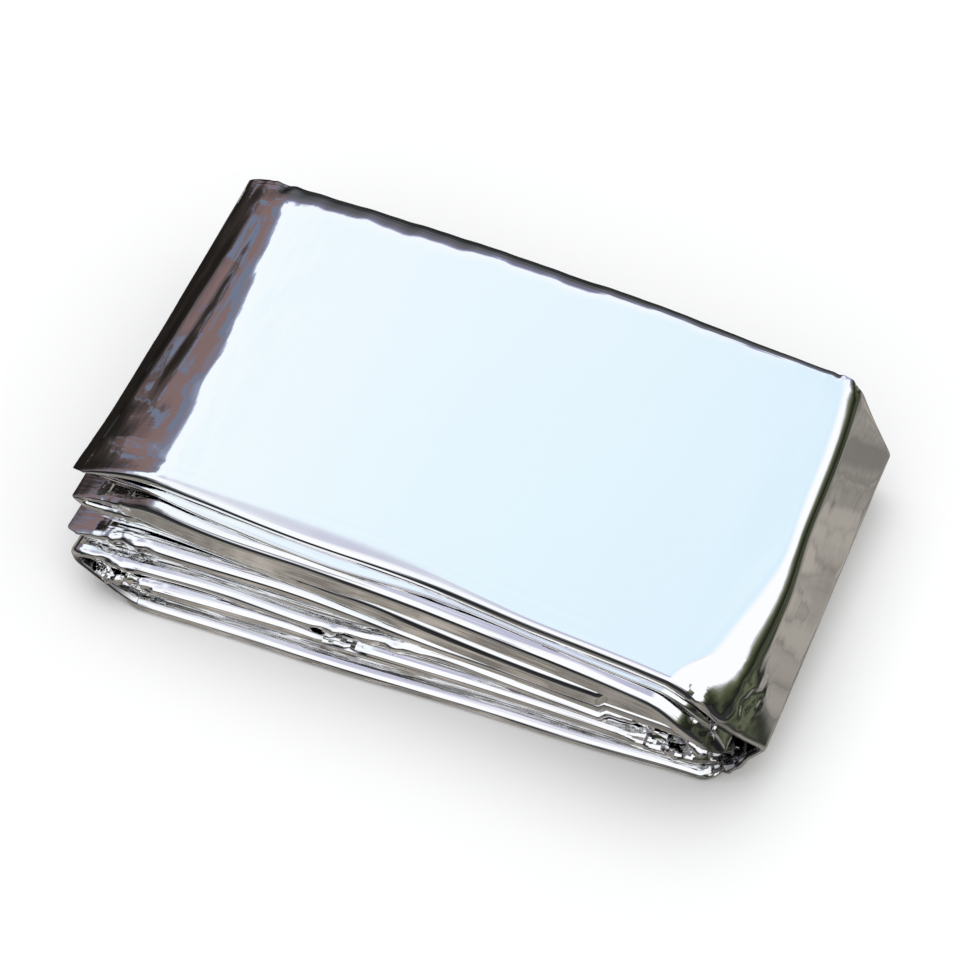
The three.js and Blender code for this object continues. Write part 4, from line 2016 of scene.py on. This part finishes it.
@dataclass(frozen=True)
class FloorFinish:
    """Pale floor with a painted reflection that the film alone mirrors: stones, dim further off and at the
    right.

    Attributes:
        name: Name of the material.
        pale: Colour of the floor itself.
        roughness: Its roughness.
        mottle: Scale and detail of the stones' mottling.
        stone_scale: Scale of the stones.
        stone_tones: How much darker or lighter a stone may be.
        joint_width: Half of the width of the joints between the stones.
        joint_tone: How much darker the joints are.
        stones: Colours of the stones.
        middle: Point from which distances on the floor are taken, in metres.
        dull: Range of distances in which the stones become dull.
        dull_most: Largest share of the dull colour.
        dull_colour: The dull colour.
        far: Range of distances in which the floor becomes dim.
        aside: Direction in which it becomes dim sooner, towards the front right.
        aside_from: Range along that direction in which it does.
        behind: Y range in which the front keeps its stones.
        dim: Colour of the dim floor.
        growth: Scale and detail of the green patches.
        greens: Colours of the green patches.
        green_from: X range in which the dim floor becomes green.
    """

    name: str = "pale_floor"
    pale: Colour = (0.94, 0.93, 0.915, 1.0)
    roughness: float = 0.9
    mottle: Pair = (70.0, 6.0)
    stone_scale: float = 120.0
    stone_tones: Pair = (-0.17, 0.15)
    joint_width: float = 0.22
    joint_tone: float = -0.14
    stones: Stops = ((0.30, (0.23, 0.21, 0.18)), (0.60, (0.50, 0.45, 0.39)))
    middle: Triple = (-0.02, 0.03, 0.0)
    dull: Pair = (0.085, 0.115)
    dull_most: float = 0.62
    dull_colour: Colour = (0.14, 0.135, 0.125, 1.0)
    far: Pair = (0.128, 0.150)
    aside: Triple = (0.906, -0.423, 0.0)
    aside_from: Pair = (0.077, 0.087)
    behind: Pair = (-0.062, -0.042)
    dim: Colour = (0.030, 0.030, 0.031, 1.0)
    growth: Pair = (26.0, 4.0)
    greens: Stops = ((0.38, (0.014, 0.015, 0.012)), (0.66, (0.110, 0.120, 0.072)))
    green_from: Pair = (0.06, 0.10)

    def near(self, graph: Graph, place: Socket, distance: Socket) -> Socket:
        """Output of the stones' colours near the brick.

        Args:
            graph: Nodes of the material.
            place: Coordinates on the floor.
            distance: Distance from the floor's middle.

        Returns:
            The colour.
        """
        cells = {"Vector": place, "Scale": self.stone_scale}
        edge = graph.add("ShaderNodeTexVoronoi", cells, feature="DISTANCE_TO_EDGE").outputs["Distance"]
        joints = graph.ranged(edge, (0.0, self.joint_width), (self.joint_tone, 0.0))
        each = graph.add("ShaderNodeTexVoronoi", cells).outputs["Color"]
        tones = graph.ranged(each, (0.0, 1.0), self.stone_tones)
        tone = graph.maths("ADD", graph.noise(place, *self.mottle), tones)
        stones = graph.ramp(self.stones, graph.maths("ADD", tone, joints))
        dull = graph.ranged(distance, self.dull, (0.0, self.dull_most))
        return graph.mix(dull, stones, self.dull_colour)

    def painted_reflection(self, graph: Graph) -> Socket:
        """Output of the painted reflection, the colours that only the film's mirror sees on the floor.

        Args:
            graph: Nodes of the material.

        Returns:
            The colour.
        """
        place = graph.add("ShaderNodeTexCoord").outputs["Object"]
        parts = graph.parts(place)
        distance = graph.vectors("DISTANCE", place, self.middle)
        behind = graph.soft(parts["Y"], self.behind)
        aside = graph.soft(graph.vectors("DOT_PRODUCT", place, self.aside), self.aside_from, behind)
        dim_share = graph.maths("MAXIMUM", graph.soft(distance, self.far), aside)
        greens = graph.ramp(self.greens, graph.noise(place, *self.growth))
        green_share = graph.ranged(parts["X"], self.green_from, (0.0, behind))
        dim = graph.mix(green_share, self.dim, greens)
        return graph.mix(dim_share, self.near(graph, place, distance), dim)

    def material(self) -> bpy.types.Material:
        """Builds the floor's node material.

        Returns:
            The material.
        """
        pale = bpy.data.materials.new(self.name)
        pale.use_nodes = True
        graph = Graph(pale.node_tree)
        # Painted reflection: glossy rays see the stones and the dim floor, all other rays see the pale
        # floor.
        ray = graph.add("ShaderNodeLightPath").outputs["Is Glossy Ray"]
        shown = graph.mix(ray, self.pale, self.painted_reflection(graph))
        inputs = {"Base Color": shown, "Roughness": self.roughness, "Specular IOR Level": 0.0}
        graph.fill(pale.node_tree.nodes["Principled BSDF"], inputs)
        return pale


@dataclass(frozen=True)
class Studio:
    """Floor, soft light and camera.

    Attributes:
        aim: Point in the middle of the view, in millimetres.
        azimuth: Turn of the camera to the right of the front, in degrees.
        elevation: Height of the camera above the horizon, in degrees.
        distance: Distance of the camera from the aim, in millimetres.
        lens: Focal length in millimetres.
        sensor: Width of the sensor in millimetres.
        near: Distance from which the camera sees, in metres.
        floor_reach: Half of the floor's side, in metres.
        floor_drop: How far the floor lies under the brick, in metres.
        lamp_size: Width of the soft lamp in metres.
        lamp_power: Its power in watts.
        lamp_colour: Its colour.
        lamp_place: Its place in metres.
    """

    aim: Triple = (2.2, -6.9, 27.0)
    azimuth: float = 23.57
    elevation: float = 56.14
    distance: float = 474.9
    lens: float = 100.54
    sensor: float = 36.0
    near: float = 0.01
    floor_reach: float = 4.0
    floor_drop: float = 0.0001
    lamp_size: float = 1.6
    lamp_power: float = 11.0
    lamp_colour: Triple = (1.0, 0.985, 0.96)
    lamp_place: Triple = (-0.3, 0.3, 1.5)

    def camera(self) -> None:
        """Places the camera and makes it the scene's own."""
        turn, rise = math.radians(self.azimuth), math.radians(self.elevation)
        back = Vector((math.sin(turn) * math.cos(rise), -math.cos(turn) * math.cos(rise), math.sin(rise)))
        data = bpy.data.cameras.new("camera")
        data.lens = self.lens
        data.sensor_width = self.sensor
        data.clip_start = self.near
        camera = bpy.data.objects.new("camera", data)
        camera.location = (Vector(self.aim) + back * self.distance) * MM
        camera.rotation_euler = back.to_track_quat("Z", "Y").to_euler()
        bpy.context.scene.collection.objects.link(camera)
        bpy.context.scene.camera = camera

    def floor(self) -> None:
        """Lays the pale floor."""
        mesh = bpy.data.meshes.new("floor")
        reach, height = self.floor_reach, -self.floor_drop
        signs = ((-1, -1), (1, -1), (1, 1), (-1, 1))
        mesh.from_pydata([(x * reach, y * reach, height) for x, y in signs], [], [(0, 1, 2, 3)])
        mesh.materials.append(FloorFinish().material())
        floor = bpy.data.objects.new("floor", mesh)
        bpy.context.scene.collection.objects.link(floor)

    def light(self) -> None:
        """Hangs a wide soft lamp over the floor."""
        data = bpy.data.lights.new("soft_lamp", "AREA")
        data.shape = "DISK"
        data.size = self.lamp_size
        data.energy = self.lamp_power
        data.color = self.lamp_colour
        lamp = bpy.data.objects.new("soft_lamp", data)
        lamp.location = self.lamp_place
        lamp.rotation_euler = Vector(self.lamp_place).to_track_quat("Z", "Y").to_euler()
        lamp.visible_glossy = False
        bpy.context.scene.collection.objects.link(lamp)

    def build(self) -> None:
        """Sets up the whole studio."""
        self.camera()
        self.floor()
        self.light()
        Dome().build()
        bpy.context.scene.view_settings.view_transform = "Standard"


STRIPS = (
    FilmStrip("upper_folds", first_run=4, last_run=7),
    FilmStrip("outer_wrap", first_run=8, last_run=3, across=22),
    FilmStrip("lower_folds", first_run=2, last_run=1),
)


def main() -> None:
    """Builds the studio and the folded film in order, attaches each piece to the root and logs its
    triangles.
    """
    logging.basicConfig(level=logging.INFO, format="%(message)s")
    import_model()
    Studio().build()
    stack = Stack()
    film = FilmFinish().material()
    relief = FilmRelief()
    tree = relief.tree()
    for strip in STRIPS:
        piece = strip.build(stack)
        relief.apply(piece, tree, film)
        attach(piece, "root")
        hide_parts("folded_bag")
        strip.flat_size(stack)
        piece.data.calc_loop_triangles()
        LOG.info("%s: %d triangles", piece.name, len(piece.data.loop_triangles))


if __name__ == "__main__":
    main()
